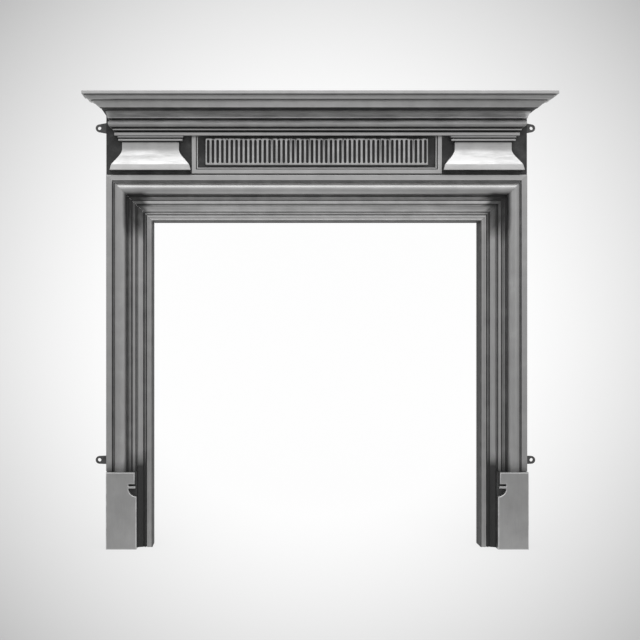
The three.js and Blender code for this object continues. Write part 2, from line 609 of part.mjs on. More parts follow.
function mantelShelf() {
  const edge = returnedMoulding(SHELF_MEMBERS, SHELF_BASE, SHELF_DEPTH, SHELF_HALF, 0, SHELF_DEPTH + CUT);
  const notches = [-1, 1].map((side) => {
    const across = [side * HALF_BODY, side * (SHELF_HALF + CUT)].sort((a, b) => a - b);
    return box(
      [across[0], -CUT, SHELF_BASE - CUT],
      [across[1], SHELF_DEPTH - EAR_DEPTH, SHELF_TOP + CUT],
    );
  });
  const foot = SHELF_DEPTH + SHELF_MEMBERS[0][2];
  const plate = SHELF_TOP - SKIN;
  const pocketLine = points(
    [SHELF_BASE - CUT, foot - SOFFIT_WIDTH],
    [SHELF_BASE + SKIN, foot - SOFFIT_WIDTH],
    [SHELF_BASE + SKIN, foot - SKIN],
    [plate, foot + 2 * SKIN],
  );
  const pocketEnd = HALF_BODY - 2 * SKIN;
  const pocket = prism(closedBy(pocketLine, SKIN), LENGTHWISE, -pocketEnd, pocketEnd);
  const ribs = SHELF_BOLTS.map((x) =>
    box([x - SKIN / 2, 0, plate - SHELF_RIB], [x + SKIN / 2, foot + 2 * SKIN + CUT, plate + CUT]),
  );
  const bosses = SHELF_BOLTS.map((x) =>
    bar(BOSS_DIAMETER / 2, at(x, BOLT_DEPTH, SHELF_BASE), UP, plate + CUT - SHELF_BASE),
  );
  const threads = SHELF_BOLTS.map((x) =>
    bar(M8.shank / 2 + FIT, at(x, BOLT_DEPTH, SHELF_BASE - CUT), UP, CUT + THREAD_GRIP + FIT),
  );
  return cut(joined(cut(edge, pocket, ...notches), ...ribs, ...bosses), ...threads);
}

// ---------------------------------------------------------------- fixing lugs

const LUG_INNER = HALF_BODY - SKIN - FIT - LUG_THICKNESS; // inner face of the bolted leg
const LUG_BOLT_DEPTH = LUG_THICKNESS + (LUG_LEG - LUG_THICKNESS) / 2;

// An angle lug for the right side, at height zero: a tab at the wall and a leg inside the casting.
function lug(root) {
  const centre = HALF_BODY + LUG_REACH;
  const nose = new THREE.EllipseCurve(centre, 0, LUG_NOSE, LUG_NOSE, -Math.PI / 2, Math.PI / 2);
  const outline = [
    ...points([LUG_INNER, -root / 2], [HALF_BODY + FIT, -root / 2]),
    ...nose.getPoints(BEAD_STEPS),
    ...points([HALF_BODY + FIT, root / 2], [LUG_INNER, root / 2]),
  ];
  const tab = prism(outline, ELEVATION, 0, LUG_THICKNESS);
  const leg = box([LUG_INNER, 0, -root / 2], [LUG_INNER + LUG_THICKNESS, LUG_LEG, root / 2]);
  const hole = bar(LUG_HOLE / 2, at(centre, -CUT, 0), FRONT, LUG_THICKNESS + 2 * CUT);
  const boltHole = bar(
    M6.shank / 2 + FIT, at(LUG_INNER - CUT, LUG_BOLT_DEPTH, 0), RIGHT, LUG_THICKNESS + 2 * CUT,
  );
  return cut(tab.add(leg), hole, boltHole);
}

// What a lug needs in the side of a casting: a notch at the wall and a blind threaded hole.
function lugSeat(height, root, side) {
  const half = root / 2 + FIT;
  const across = [side * (HALF_BODY - SKIN - CUT), side * (HALF_BODY + CUT)].sort((a, b) => a - b);
  const notch = box([across[0], -CUT, height - half], [across[1], LUG_THICKNESS + FIT, height + half]);
  const from = at(side * (HALF_BODY - SKIN - CUT), LUG_BOLT_DEPTH, height);
  const thread = bar(M6.shank / 2 + FIT, from, side > 0 ? RIGHT : LEFT, SKIN * 0.7 + CUT);
  return notch.add(thread);
}

// ---------------------------------------------------------------- fasteners

// A six-sided bar round the Z axis, by its width across the flats.
function hexagon(flats) {
  const radius = flats / Math.sqrt(3);
  return Array.from({ length: 6 }, (_, i) => {
    const angle = (i * Math.PI) / 3;
    return new THREE.Vector2(radius * Math.cos(angle), radius * Math.sin(angle));
  });
}

const IN_PLACE = [RIGHT, BACK, UP];

// The head stands on the XY plane, and the shank runs down from it.
function boltGeometry(size, length) {
  const head = prism(hexagon(size.flats), IN_PLACE, 0, size.head);
  return geometryOf(head.add(bar(size.shank / 2, at(0, 0, CUT), DOWN, length + CUT)));
}

function nutGeometry(size) {
  const bore = new THREE.EllipseCurve(0, 0, size.shank / 2 + FIT, size.shank / 2 + FIT);
  const round = bore.getPoints(ROUND_STEPS).slice(0, -1);
  return geometryOf(prism(hexagon(size.flats), IN_PLACE, 0, size.nut, [round]));
}

// ---------------------------------------------------------------- assembly

const surround = new THREE.Group();
surround.position.y = SHELF_DEPTH / 2;

const FINISHES = {
  polished: { color: 0x8b8c8e, roughness: 0.32, metalness: 0.9 },
  blackened: { color: 0x3a3a3c, roughness: 0.55, metalness: 0.7 },
  fastener: { color: 0x6d6e70, roughness: 0.45, metalness: 0.9 },
};

function add(name, geometry, finish, position = new THREE.Vector3(), direction = UP) {
  const mesh = new THREE.Mesh(geometry, new THREE.MeshStandardMaterial(FINISHES[finish]));
  mesh.name = name;
  mesh.position.copy(position);
  mesh.quaternion.setFromUnitVectors(UP, direction);
  surround.add(mesh);
}

add("mantel_shelf", geometryOf(mantelShelf()), "polished");
add("frieze", geometryOf(frieze()), "polished");
add("fluted_panel", geometryOf(flutedPanel()), "polished");
add("lintel", geometryOf(lintel()), "polished");

const leg = geometryOf(leftLeg());
add("left_leg", leg, "polished");
add("right_leg", mirrored(leg), "polished");

const plinth = geometryOf(leftPlinth());
add("left_plinth", plinth, "polished");
add("right_plinth", mirrored(plinth), "polished");

const block = geometryOf(rightCornerBlock());
add("right_corner_block", block, "polished");
add("left_corner_block", mirrored(block), "polished");

for (const [level, height, root] of [
  ["upper", UPPER_LUG_HEIGHT, UPPER_LUG_ROOT],
  ["lower", LOWER_LUG_HEIGHT, LOWER_LUG_ROOT],
]) {
  const piece = geometryOf(lug(root));
  const lugBolt = boltGeometry(M6, FIT + LUG_THICKNESS + FIT + SKIN * 0.6);
  add(`${level}_right_lug`, piece, "blackened", at(0, 0, height));
  add(`${level}_left_lug`, mirrored(piece), "blackened", at(0, 0, height));
  const head = at(LUG_INNER - FIT, LUG_BOLT_DEPTH, height);
  add(`${level}_right_lug_bolt`, lugBolt, "fastener", head, LEFT);
  add(`${level}_left_lug_bolt`, lugBolt.clone(), "fastener", mirrorPoint(head), RIGHT);
}

const shelfBolt = boltGeometry(M8, FIT + SKIN + THREAD_GRIP);
SHELF_BOLTS.forEach((x, i) => {
  add(`shelf_bolt_${i + 1}`, shelfBolt.clone(), "fastener", at(x, BOLT_DEPTH, FRIEZE_TOP - SKIN - FIT), DOWN);
});

const flangeGrip = 2 * SKIN + 3 * FIT + M8.nut + THREAD_END; // two flanges, their gaps and the nut
const flangeBolt = boltGeometry(M8, flangeGrip);
const nut = nutGeometry(M8);
FRIEZE_BOLTS.forEach((x, i) => {
  add(`frieze_bolt_${i + 1}`, flangeBolt.clone(), "fastener", at(x, BOLT_DEPTH, FRIEZE_BASE + SKIN + FIT));
  add(`frieze_nut_${i + 1}`, nut.clone(), "fastener", at(x, BOLT_DEPTH, FRAME_TOP - SKIN - FIT), DOWN);
});

const mitreSeat = FIT / 2 + SKIN + FIT; // from the mitre to a bolt head or nut
mitreBoltPlaces.forEach((distance, i) => {
  for (const [side, turn] of [["left", (p) => p.clone()], ["right", mirrorPoint]]) {
    const normal = turn(mitreNormal);
    const centre = turn(onMitre(distance));
    const head = centre.clone().addScaledVector(normal, mitreSeat);
    const seat = centre.clone().addScaledVector(normal, -mitreSeat);
    add(`${side}_mitre_bolt_${i + 1}`, flangeBolt.clone(), "fastener", head, normal);
    add(`${side}_mitre_nut_${i + 1}`, nut.clone(), "fastener", seat, normal.clone().negate());
  }
});

const smallNut = nutGeometry(M6);
const behindFrieze = BACKGROUND_DEPTH - SKIN - FIT;
FLUTED_PINS.forEach(([x, height], i) => {
  add(`panel_nut_${i + 1}`, smallNut.clone(), "fastener", at(x, behindFrieze, height), BACK);
});
BLOCK_STUDS.flatMap((x) => [x, -x]).forEach((x, i) => {
  add(`block_nut_${i + 1}`, nut.clone(), "fastener", at(x, behindFrieze, BLOCK_STUD_HEIGHT), BACK);
});
plinthStuds.forEach((height, i) => {
  const behindLeg = FRAME_GROUND - SKIN - FIT;
  add(`left_plinth_nut_${i + 1}`, nut.clone(), "fastener", at(-PLINTH_CENTRE, behindLeg, height), BACK);
  add(`right_plinth_nut_${i + 1}`, nut.clone(), "fastener", at(PLINTH_CENTRE, behindLeg, height), BACK);
});

export default surround;
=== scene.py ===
"""Looks of a cast iron fire surround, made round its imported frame.

Each casting is a new surface, worked out with numpy, that stands for its CAD node. The lugs,
bolts and nuts keep their own meshes and only get a finish. Places are written as (x, depth,
height) in millimetres: x to the right, depth forward of the wall, height above the floor. They
become metres in the frame's axes where a mesh is made.
"""

import math

import bmesh
import bpy
import numpy as np
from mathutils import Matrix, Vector


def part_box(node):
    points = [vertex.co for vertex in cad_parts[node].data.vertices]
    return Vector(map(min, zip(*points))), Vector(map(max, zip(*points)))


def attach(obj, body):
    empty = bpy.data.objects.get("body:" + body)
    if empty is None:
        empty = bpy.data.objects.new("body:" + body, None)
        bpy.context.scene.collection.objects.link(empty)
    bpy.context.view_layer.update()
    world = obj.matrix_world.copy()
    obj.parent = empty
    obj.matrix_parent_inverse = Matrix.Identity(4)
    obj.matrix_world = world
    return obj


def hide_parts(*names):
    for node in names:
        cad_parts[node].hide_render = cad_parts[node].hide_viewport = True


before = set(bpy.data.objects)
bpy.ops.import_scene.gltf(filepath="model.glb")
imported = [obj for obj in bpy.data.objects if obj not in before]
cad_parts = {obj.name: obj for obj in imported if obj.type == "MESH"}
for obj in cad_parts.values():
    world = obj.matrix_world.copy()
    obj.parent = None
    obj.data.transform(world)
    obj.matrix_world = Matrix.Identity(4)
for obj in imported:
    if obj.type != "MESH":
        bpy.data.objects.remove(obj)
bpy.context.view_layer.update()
MM = 0.001


# ---------------------------------------------------------------- sizes from the frame


def extent(node):
    """A CAD node's (lowest, highest) corner in millimetres."""
    low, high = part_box(node)
    return np.array(low) / MM, np.array(high) / MM


LEG_LOW, LEG_HIGH = extent("left_leg")
LINTEL_LOW, LINTEL_HIGH = extent("lintel")
FRIEZE_LOW, FRIEZE_HIGH = extent("frieze")
SHELF_LOW, SHELF_HIGH = extent("mantel_shelf")
PANEL_LOW, PANEL_HIGH = extent("fluted_panel")
PLINTH_LOW, PLINTH_HIGH = extent("right_plinth")
BLOCK_LOW, BLOCK_HIGH = extent("right_corner_block")

WALL = LEG_HIGH[1]  # the wall plane, behind the origin
HALF_OPENING = -LEG_HIGH[0]
HALF_BODY = -LEG_LOW[0]
FRAME_BAND = HALF_BODY - HALF_OPENING
OPENING_HEIGHT = LINTEL_LOW[2]
FRAME_TOP = LINTEL_HIGH[2]
FRIEZE_BASE = FRIEZE_LOW[2]
FRIEZE_TOP = FRIEZE_HIGH[2]
SHELF_BASE = SHELF_LOW[2]
SHELF_TOP = SHELF_HIGH[2]
SHELF_HALF = SHELF_HIGH[0]
SHELF_DEPTH = SHELF_HIGH[1] - SHELF_LOW[1]
PLINTH_HEIGHT = PLINTH_HIGH[2]
PLINTH_DEPTH = WALL - PLINTH_LOW[1]

SKIN = 7  # wall of every casting
FIT = 0.3  # clearance between pieces
ARRIS = 0.9  # radius to which the corners of the mouldings are worn
MITRE_GAP = FIT * math.sqrt(0.5)  # along the opening, from a mitred end to the true mitre
MITRE_FLANGE = SKIN * math.sqrt(2)  # along the opening, of the flange behind a mitre
RIB_SPACING = 300  # longest bay between the ribs behind a casting
SINK = 1  # how far one surface of a casting is let into another of the same casting
CORNER_STEPS = 3  # of a rounded corner
CURVE_STEPS = 14  # of a quarter of a curved member
BACKGROUND_POLISH = 0.1  # where the wheel doesn't reach


# ---------------------------------------------------------------- outlines


def member(form, width, start, end=None):
    """Points (along, out) of one member of a moulding, from along 0 to its width.

    flat: a straight line. bead: half a circle. roll: half an ellipse, and end is its height.
    cove and ovolo: a quarter of an ellipse, hollow or swelling, so one of its ends runs along
    and the other runs out. bell: a cubic curve.
    """
    if form in ("bead", "roll"):
        half = np.linspace(0, math.pi, 2 * CURVE_STEPS)
        height = width / 2 if form == "bead" else end
        return np.column_stack([width / 2 * (1 - np.cos(half)), start + height * np.sin(half)])
    end = start if end is None else end
    rise = end - start
    turn = np.linspace(0, math.pi / 2, CURVE_STEPS)
    if form == "flat":
        return np.array([[0, start], [width, end]], float)
    if form == "bell":
        t = np.linspace(0, 1, 2 * CURVE_STEPS)
        along = width * t
        out = start + rise * (2 * (1 - t) * t**2 + t**3)
        return np.column_stack([along, out])
    if (form == "cove") == (rise > 0):
        return np.column_stack([width * np.sin(turn), start + rise * (1 - np.cos(turn))])
    return np.column_stack([width * (1 - np.cos(turn)), start + rise * np.sin(turn)])


def moulding(members, along=0.0, out=0.0):
    """Points of a row of members laid end to end from (along, out)."""
    pieces = []
    for form, width, *levels in members:
        pieces.append(member(form, width, *levels) + [along, out])
        along += width
    points = np.concatenate(pieces)
    moved = np.linalg.norm(np.diff(points, axis=0), axis=1) > 1e-6
    return points[np.concatenate([[True], moved])]


def soften(points, radius, closed=False):
    """Every corner sharper than 20 degrees becomes a quadratic curve that starts and ends a
    radius from the corner, or two fifths of the way along a shorter side."""
    before, after = np.roll(points, 1, axis=0), np.roll(points, -1, axis=0)
    to_before, to_after = before - points, after - points
    lengths = np.linalg.norm(to_before, axis=1), np.linalg.norm(to_after, axis=1)
    lengths = [np.maximum(length, 1e-9) for length in lengths]
    cosine = -np.sum(to_before * to_after, axis=1) / (lengths[0] * lengths[1])
    sharp = cosine < math.cos(math.radians(20))
    if not closed:
        sharp[[0, -1]] = False
    reach = [np.minimum(radius, 0.4 * length) * sharp for length in lengths]
    start = points + to_before * (reach[0] / lengths[0])[:, None]
    end = points + to_after * (reach[1] / lengths[1])[:, None]
    t = np.linspace(0, 1, CORNER_STEPS + 1)[None, :, None]
    start, corner, end = start[:, None], points[:, None], end[:, None]
    curve = (1 - t) ** 2 * start + 2 * t * (1 - t) * corner + t**2 * end
    keep = np.repeat(sharp[:, None], CORNER_STEPS + 1, axis=1)
    keep[:, 0] = True
    return curve[keep]


def wheel_reach(points, wheel=11.0, clean=0.5, black=4.0):
    """How far a polishing wheel has cleaned each point of an outline (along, out), from 0 to 1.

    The wheel is rolled over the outline: the line that it leaves is the outline raised by a disc
    and lowered by it again. A point that lies deeper under that line than black is untouched.
    """
    step = 0.25
    grid = np.arange(points[:, 0].min() - 3 * wheel, points[:, 0].max() + 3 * wheel, step)
    order = np.argsort(points[:, 0], kind="stable")
    height = np.interp(grid, points[order, 0], points[order, 1])
    offsets = np.arange(-wheel, wheel + step / 2, step)
    disc = np.sqrt(np.maximum(wheel**2 - offsets**2, 0))
    window = np.lib.stride_tricks.sliding_window_view
    pad = len(offsets) // 2
    raised = (window(np.pad(height, pad, mode="edge"), len(offsets)) + disc).max(axis=1)
    lowered = (window(np.pad(raised, pad, mode="edge"), len(offsets)) - disc).min(axis=1)
    depth = np.interp(points[:, 0], grid, lowered) - points[:, 1]
    share = np.clip((black - depth) / (black - clean), 0, 1)
    return share * share * (3 - 2 * share)


def ramp(places, table):
    """Values read off a table of (place, value) rows, straight between them."""
    return np.interp(places, *zip(*table))


# ---------------------------------------------------------------- meshes


def grid_faces(rows, columns, first=0, closed=True):
    """Four-sided faces between neighbouring rows of vertices, round each row if closed."""
    across = np.arange(columns if closed else columns - 1)
    down = np.arange(rows - 1)[:, None] * columns + first
    here, beside = down + across, down + (across + 1) % columns
    return np.stack([here, beside, beside + columns, here + columns], axis=-1).reshape(-1, 4)


class Surface:
    """Vertices (x, depth, height), their polish, which also carries painted shade and painted
    highlights, and the faces between them, gathered from grids.
    """

    def __init__(self):
        self.points, self.polish_and_painted_light, self.faces, self.count = [], [], [], 0

    def grid(self, points, polish_and_painted_light, first_cap=True):
        """Adds rows of vertices, of shape (rows, columns, 3), each of them a ring. A face closes
        the last row, and with first_cap the first one too."""
        rows, columns = points.shape[:2]
        first, end = self.count, self.count + rows * columns
        self.points.append(points.reshape(-1, 3))
        self.polish_and_painted_light.append(np.broadcast_to(polish_and_painted_light, (rows, columns)).reshape(-1))
        self.faces += grid_faces(rows, columns, first).tolist()
        if first_cap:
            self.faces.append(list(range(first, first + columns)))
        self.faces.append(list(range(end - columns, end)))
        self.count = end
        return self

    def mirrored(self):
        """The same surface for the other side of the surround."""
        other = Surface()
        other.points = [points * [-1, 1, 1] for points in self.points]
        other.polish_and_painted_light, other.faces = list(self.polish_and_painted_light), list(self.faces)
        return other

    def make(self, name, material, *nodes):
        """The piece, riding on the frame in place of the CAD nodes."""
        placed = np.concatenate(self.points) * [1, -1, 1] + [0, WALL, 0]
        mesh = bpy.data.meshes.new(name)
        mesh.from_pydata(placed * MM, [], self.faces)
        # Besides the wheel's reach, this attribute carries painted shade and painted highlights.
        mesh.attributes.new("polish_and_painted_light", "FLOAT", "POINT")
        polish_and_painted_light = np.concatenate(self.polish_and_painted_light).astype(np.float32)
        mesh.attributes["polish_and_painted_light"].data.foreach_set("value", polish_and_painted_light)
        tidy_mesh(mesh)
        mesh.materials.append(material)
        piece = bpy.data.objects.new(name, mesh)
        bpy.context.scene.collection.objects.link(piece)
        weighted = piece.modifiers.new("weighted", "WEIGHTED_NORMAL")
        weighted.keep_sharp = True
        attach(piece, "root")
        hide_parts(*nodes)
        return piece


def tidy_mesh(mesh, merge=2e-6, sharp=math.radians(42)):
    """Merges what coincides, points the faces outwards and marks the corners that stay sharp."""
    work = bmesh.new()
    work.from_mesh(mesh)
    bmesh.ops.remove_doubles(work, verts=work.verts, dist=merge)
    bmesh.ops.dissolve_degenerate(work, edges=work.edges, dist=merge)
    bmesh.ops.recalc_face_normals(work, faces=work.faces)
    work.to_mesh(mesh)
    work.free()
    mesh.shade_smooth()
    mesh.set_sharp_from_angle(angle=sharp)


# ---------------------------------------------------------------- frame: legs and lintel

FRAME_GROUND = 47
# Members are (form, width, relief at the start, relief at the end), from the opening outwards.
FOOT_MEMBERS = [
    ("ovolo", 1.5, 3.5, 5),
    ("flat", 3, 5),
    ("flat", 4.5, 4),
    ("flat", 6, 5),
    ("flat", 3.5, 0),
    ("flat", 3.5, 4),
    ("flat", 4, 0.5),
    ("cove", 15, 3.5, 11),
]
MIDDLE_MEMBERS = [
    ("flat", 5.5, 8),
    ("flat", 7.5, 14),
    ("flat", 4, 10),
    ("bead", 4, 11.5),
    ("bead", 4, 11.5),
    ("flat", 5, 11),
]
ROLL_WIDTH = 32
ROLL_HEIGHT = 13
ROLL_RELIEF = 19  # the plane that the roll springs from
OUTER_MEMBERS = [
    ("cove", 6, 16, 12),
    ("flat", 2.5, 8),
    ("flat", 14.5, 12),
    ("ovolo", 2, 12, 10),
]
FRAME_MEMBERS = [
    *FOOT_MEMBERS,
    *MIDDLE_MEMBERS,
    ("roll", ROLL_WIDTH, ROLL_RELIEF, ROLL_HEIGHT),
    *OUTER_MEMBERS,
]

# The next tables give a share of the wheel's polish, most by the distance from the opening. The
# first paints shade on the opening's arris and on narrow bands between the members.
FRAME_PAINTED_SHADE = [
    (0, 0.15), (1.5, 0.2), (2.5, 1), (8, 1), (9.5, 0.6), (11, 1), (17.5, 1), (19, 0.45),
    (23, 0.45), (27, 1), (54, 1), (57, 0.7), (66, 0.7), (71, 1), (101, 1), (104, 0.6),
    (109, 0.4), (112, 1),
]
LEAST_POLISH = 0.25  # on the frame's front
FLANK_POLISH = 0.75  # at the front of its sides, less towards the wall
FLANK_DEPTH = FRAME_GROUND - 2  # what lies further back than this is a side
# Painted light from above, added to the lintel's polish by the distance from the opening.
LINTEL_PAINTED_LIGHT = [(12, 0.1), (17, 0.35), (27, 0.35), (40, 0.25), (56, 0.15), (60, 0)]
# Painted shade blackens a corner of the opening: over these members, this far beside and above the
# opening.
SHADED_CORNER_MEMBERS = [(17, 0), (21, 1), (72, 1), (82, 0)]
SHADED_CORNER_BESIDE = [(8, 0), (20, 1)]
SHADED_CORNER_ABOVE = [(-60, 0), (-10, 1)]
CORNER_SHADE_DEPTH = 0.85
# Painted shade darkens a leg beside and just above its plinth, by height: its cove, the members up
# to the roll, the others.
LOW_SHADE_TOP = 275
LOW_SHADE_COVE = [(228, 0.05), (262, 1)]
LOW_SHADE_MIDDLE = [(218, 0.25), (LOW_SHADE_TOP, 1)]
LOW_SHADE_OUTER = [(218, 0.4), (240, 1)]
# Rows of vertices near the mitres, where the painted corner shade changes.
LEG_STATIONS = (130, 90, 50)  # below the mitre
LINTEL_STATIONS = (25, 45, 68)  # from the mitre


def width_of(members):
    """How far a row of members runs along."""
    return sum(width for _, width, *_ in members)


FOOT_WIDTH = width_of(FOOT_MEMBERS)
ROLL_START = FOOT_WIDTH + width_of(MIDDLE_MEMBERS)
ROLL_END = ROLL_START + ROLL_WIDTH


class FrameSection:
    """The section shared by the legs and the lintel, as (distance from the opening, depth)."""

    def __init__(self):
        face = moulding(FRAME_MEMBERS, 0, FRAME_GROUND)
        edge = np.concatenate([[[0, 0]], face, [[FRAME_BAND, 0]]])
        front = soften(edge, ARRIS)
        floor = FRAME_GROUND - SKIN
        inner = np.array([
            [FRAME_BAND - SKIN, 0],
            [FRAME_BAND - SKIN, floor],
            [ROLL_END - SKIN, floor],
            [ROLL_END - SKIN, floor + ROLL_RELIEF],
            [ROLL_START + SKIN, floor + ROLL_RELIEF],
            [ROLL_START + SKIN, floor],
            [SKIN, floor],
            [SKIN, 0],
        ], float)
        self.loop = np.concatenate([front, inner])
        self.is_inner = np.arange(len(self.loop)) >= len(front)
        self.is_back = np.isclose(self.loop[:, 0], FRAME_BAND) & (self.loop[:, 1] < 1)
        self.is_back |= np.isclose(self.loop[:, 0], FRAME_BAND - SKIN) & (self.loop[:, 1] < 1)
        shine_with_painted_light = np.maximum(wheel_reach(front), LEAST_POLISH) * ramp(front[:, 0], FRAME_PAINTED_SHADE)
        flank = front[:, 1] < FLANK_DEPTH
        shine_with_painted_light[flank] = np.clip(front[flank, 1] / FRAME_GROUND, 0, 1) * FLANK_POLISH
        self.polish_and_painted_light = np.concatenate([shine_with_painted_light, np.zeros(len(inner))])

    def corner_shaded(self, beside, above):
        """The polish of points that lie so far beside the opening and above its top, with painted
        shade in the opening's upper corners.
        """
        corner_shade = ramp(self.loop[:, 0], SHADED_CORNER_MEMBERS) * CORNER_SHADE_DEPTH
        return self.polish_and_painted_light * (1 - corner_shade * ramp(beside, SHADED_CORNER_BESIDE) * ramp(above, SHADED_CORNER_ABOVE))

    def low_shaded(self, height):
        """The polish of a leg's points at a height, with painted shade low on the leg."""
        low_shade_tables = (LOW_SHADE_COVE, LOW_SHADE_MIDDLE, LOW_SHADE_OUTER)
        cove, middle, outer = (ramp(height, table) for table in low_shade_tables)
        across = [(17, 1), (19, cove), (40, cove), (43, middle), (74, middle), (78, outer)]
        return self.polish_and_painted_light * ramp(self.loop[:, 0], across)

    def row(self, hollow=True, flat_from=None, back=0.0):
        """Depths of the section's points: without its hollow, cut back beside a plinth beyond
        flat_from, or with the outer flange's rear edge set forward for a lug."""
        depth = self.loop[:, 1].copy()
        if not hollow:
            depth[self.is_inner] = 0
        elif flat_from is not None:
            depth[self.is_inner] = np.minimum(depth[self.is_inner], FRAME_GROUND - SKIN)
        if flat_from is not None:
            cut = ~self.is_inner & (self.loop[:, 0] > flat_from)
            depth[cut] = np.minimum(depth[cut], FRAME_GROUND)
        depth[self.is_back] = np.maximum(depth[self.is_back], back)
        return depth


def rib_places(start, end):
    """Where the ribs behind a casting begin and end: equal bays, none longer than RIB_SPACING."""
    count = max(1, math.ceil((end - start) / RIB_SPACING))
    bay = (end - start - (count - 1) * SKIN) / count
    return [
        (start + (i + 1) * bay + i * SKIN, start + (i + 1) * (bay + SKIN))
        for i in range(count - 1)
    ]


LOWER_LUG = extent("lower_left_lug")
LUG_THICKNESS = 5


def leg_surface(section):
    """The left leg: its section carried up from the floor to the mitre, where each point's height
    is the opening's height plus its distance from the opening."""
    top = PLINTH_HEIGHT + FIT
    out = section.loop[:, 0]
    lug_low, lug_high = LOWER_LUG[0][2] - FIT, LOWER_LUG[1][2] + FIT
    notch = LUG_THICKNESS + FIT
    mitre = OPENING_HEIGHT - MITRE_GAP
    beside_plinth = FOOT_WIDTH - FIT
    stations = [
        (0, section.row(flat_from=beside_plinth)),
        (top, section.row(flat_from=beside_plinth)),
        (top, section.row(hollow=False)),
        (top + SKIN, section.row(hollow=False)),
        (top + SKIN, section.row()),
        (lug_low, section.row()),
        (lug_low, section.row(back=notch)),
        (lug_high, section.row(back=notch)),
        (lug_high, section.row()),
        (LOW_SHADE_TOP, section.row()),
    ]
    for start, end in rib_places(top + SKIN, FRAME_TOP):
        stations += [(start, section.row()), (start, section.row(False))]
        stations += [(end, section.row(False)), (end, section.row())]
    rows = [
        np.column_stack([-HALF_OPENING - out, depth, np.full(len(out), z)])
        for z, depth in stations
    ]
    polish_and_painted_light = [section.low_shaded(z) for z, _ in stations]
    stations = [(below, section.row()) for below in (*LEG_STATIONS, MITRE_FLANGE)]
    stations += [(MITRE_FLANGE, section.row(False)), (0, section.row(False))]
    for below, depth in stations:
        rows.append(np.column_stack([-HALF_OPENING - out, depth, mitre - below + out]))
        polish_and_painted_light.append(section.corner_shaded(out, out - below))
    return Surface().grid(np.stack(rows), np.stack(polish_and_painted_light))


def lintel_surface(section):
    """The lintel: the same section carried across from mitre to mitre."""
    out = section.loop[:, 0]
    lower = HALF_OPENING - MITRE_GAP
    rows, polish_and_painted_light = [], []

    def station(base, slope, depth):
        rows.append(np.column_stack([base + slope * out, depth, OPENING_HEIGHT + out]))
        wear_and_painted_light = section.corner_shaded(abs(base) - lower + out, out) if slope else section.polish_and_painted_light
        left = wear_and_painted_light / np.maximum(section.polish_and_painted_light, 0.01)  # share of the polish that the painted corner shade leaves
        # painted light from above lifts the lintel's polish
        polish_and_painted_light.append(wear_and_painted_light + ramp(out, LINTEL_PAINTED_LIGHT) * left)

    station(-lower, -1, section.row(False))
    station(-lower + MITRE_FLANGE, -1, section.row(False))
    station(-lower + MITRE_FLANGE, -1, section.row())
    for beside in LINTEL_STATIONS:
        station(-lower + beside, -1, section.row())
    for start, end in rib_places(-HALF_BODY, HALF_BODY):
        station(start, 0, section.row())
        station(start, 0, section.row(False))
        station(end, 0, section.row(False))
        station(end, 0, section.row())
    for beside in reversed(LINTEL_STATIONS):
        station(lower - beside, 1, section.row())
    station(lower - MITRE_FLANGE, 1, section.row())
    station(lower - MITRE_FLANGE, 1, section.row(False))
    station(lower, 1, section.row(False))
    return Surface().grid(np.stack(rows), np.stack(polish_and_painted_light))


# ---------------------------------------------------------------- returned mouldings


RETURN_RADIUS = 1.0  # of the corners where a moulding turns back to the wall


def rings(half_widths, fronts, heights, back, centre=0.0):
    """Rows of vertices round a rectangle against a wall: its two front corners are quarter circles.

    A row has half width w, front f and height z; its corners are turned about (w - r, f - r).
    """
    radius = RETURN_RADIUS
    half, front, height = np.broadcast_arrays(half_widths, fronts, heights)
    turn = np.linspace(0, math.pi / 2, CORNER_STEPS + 1)
    right_x = (half - radius)[:, None] + radius * np.cos(turn)
    right_d = (front - radius)[:, None] + radius * np.sin(turn)
    zero = np.zeros((len(half), 1))
    x = np.concatenate([half[:, None], right_x, -right_x[:, ::-1], -half[:, None]], axis=1)
    d = np.concatenate([zero + back, right_d, right_d[:, ::-1], zero + back], axis=1)
    z = np.broadcast_to(height[:, None], x.shape)
    return np.stack([x + centre, d, z], axis=-1)


BACKGROUND_DEPTH = 54
BED_MEMBERS = [
    ("flat", 8.5, 74),
    ("flat", 5.5, 66),
    ("flat", 4, 78),
    ("flat", 3.5, 72),
    ("bead", 19.5, 80),
    ("flat", 4, 80),
]
BED_END = 99  # how far the mitred ends stop short of the sides, less their depth
# Painted light on the bead, by the height over the foot: dim low, a painted highlight high up, and
# black on the flat over it.
BED_PAINTED_LIGHT = [(21.5, 0.45), (27, 0.9), (31, 1.4), (38, 2.1), (40.5, 1.6), (41.5, 0.1)]
BED_PAINTED_LIGHT_FROM = 21  # height over the foot, where the bead begins
NECK_MEMBERS = [("bell", 12, 88, 122), ("flat", 1.5, 122)]
NECK_PAINTED_LIGHT = [(0, 2.2), (0.3, 2.1), (0.7, 1.5), (1, 0.3)]  # painted light by the share of the way out: a painted highlight at the foot, painted shade under the shelf
NECK_INSET = 8
NECK_BASE = FRIEZE_TOP - width_of(NECK_MEMBERS)
BED_BASE = NECK_BASE - width_of(BED_MEMBERS)


def bed_surface():
    """The bed mouldings under the shelf: one ring for each point of their outline, which is set
    back from the sides by as much as it stands forward."""
    edge = moulding(BED_MEMBERS, BED_BASE, 0)
    foot, top = [[BED_BASE, BACKGROUND_DEPTH]], [[NECK_BASE, BACKGROUND_DEPTH]]
    line = soften(np.concatenate([foot, edge, top]), ARRIS)[1:-1]
    height, front = line.T
    bed_painted_light = ramp(height - BED_BASE, BED_PAINTED_LIGHT)
    bed_painted_light[height < BED_BASE + BED_PAINTED_LIGHT_FROM] = 1
    rows = rings(HALF_BODY - BED_END + front, front, height, BACKGROUND_DEPTH - SINK)
    return Surface().grid(rows, (wheel_reach(line) * bed_painted_light)[:, None])


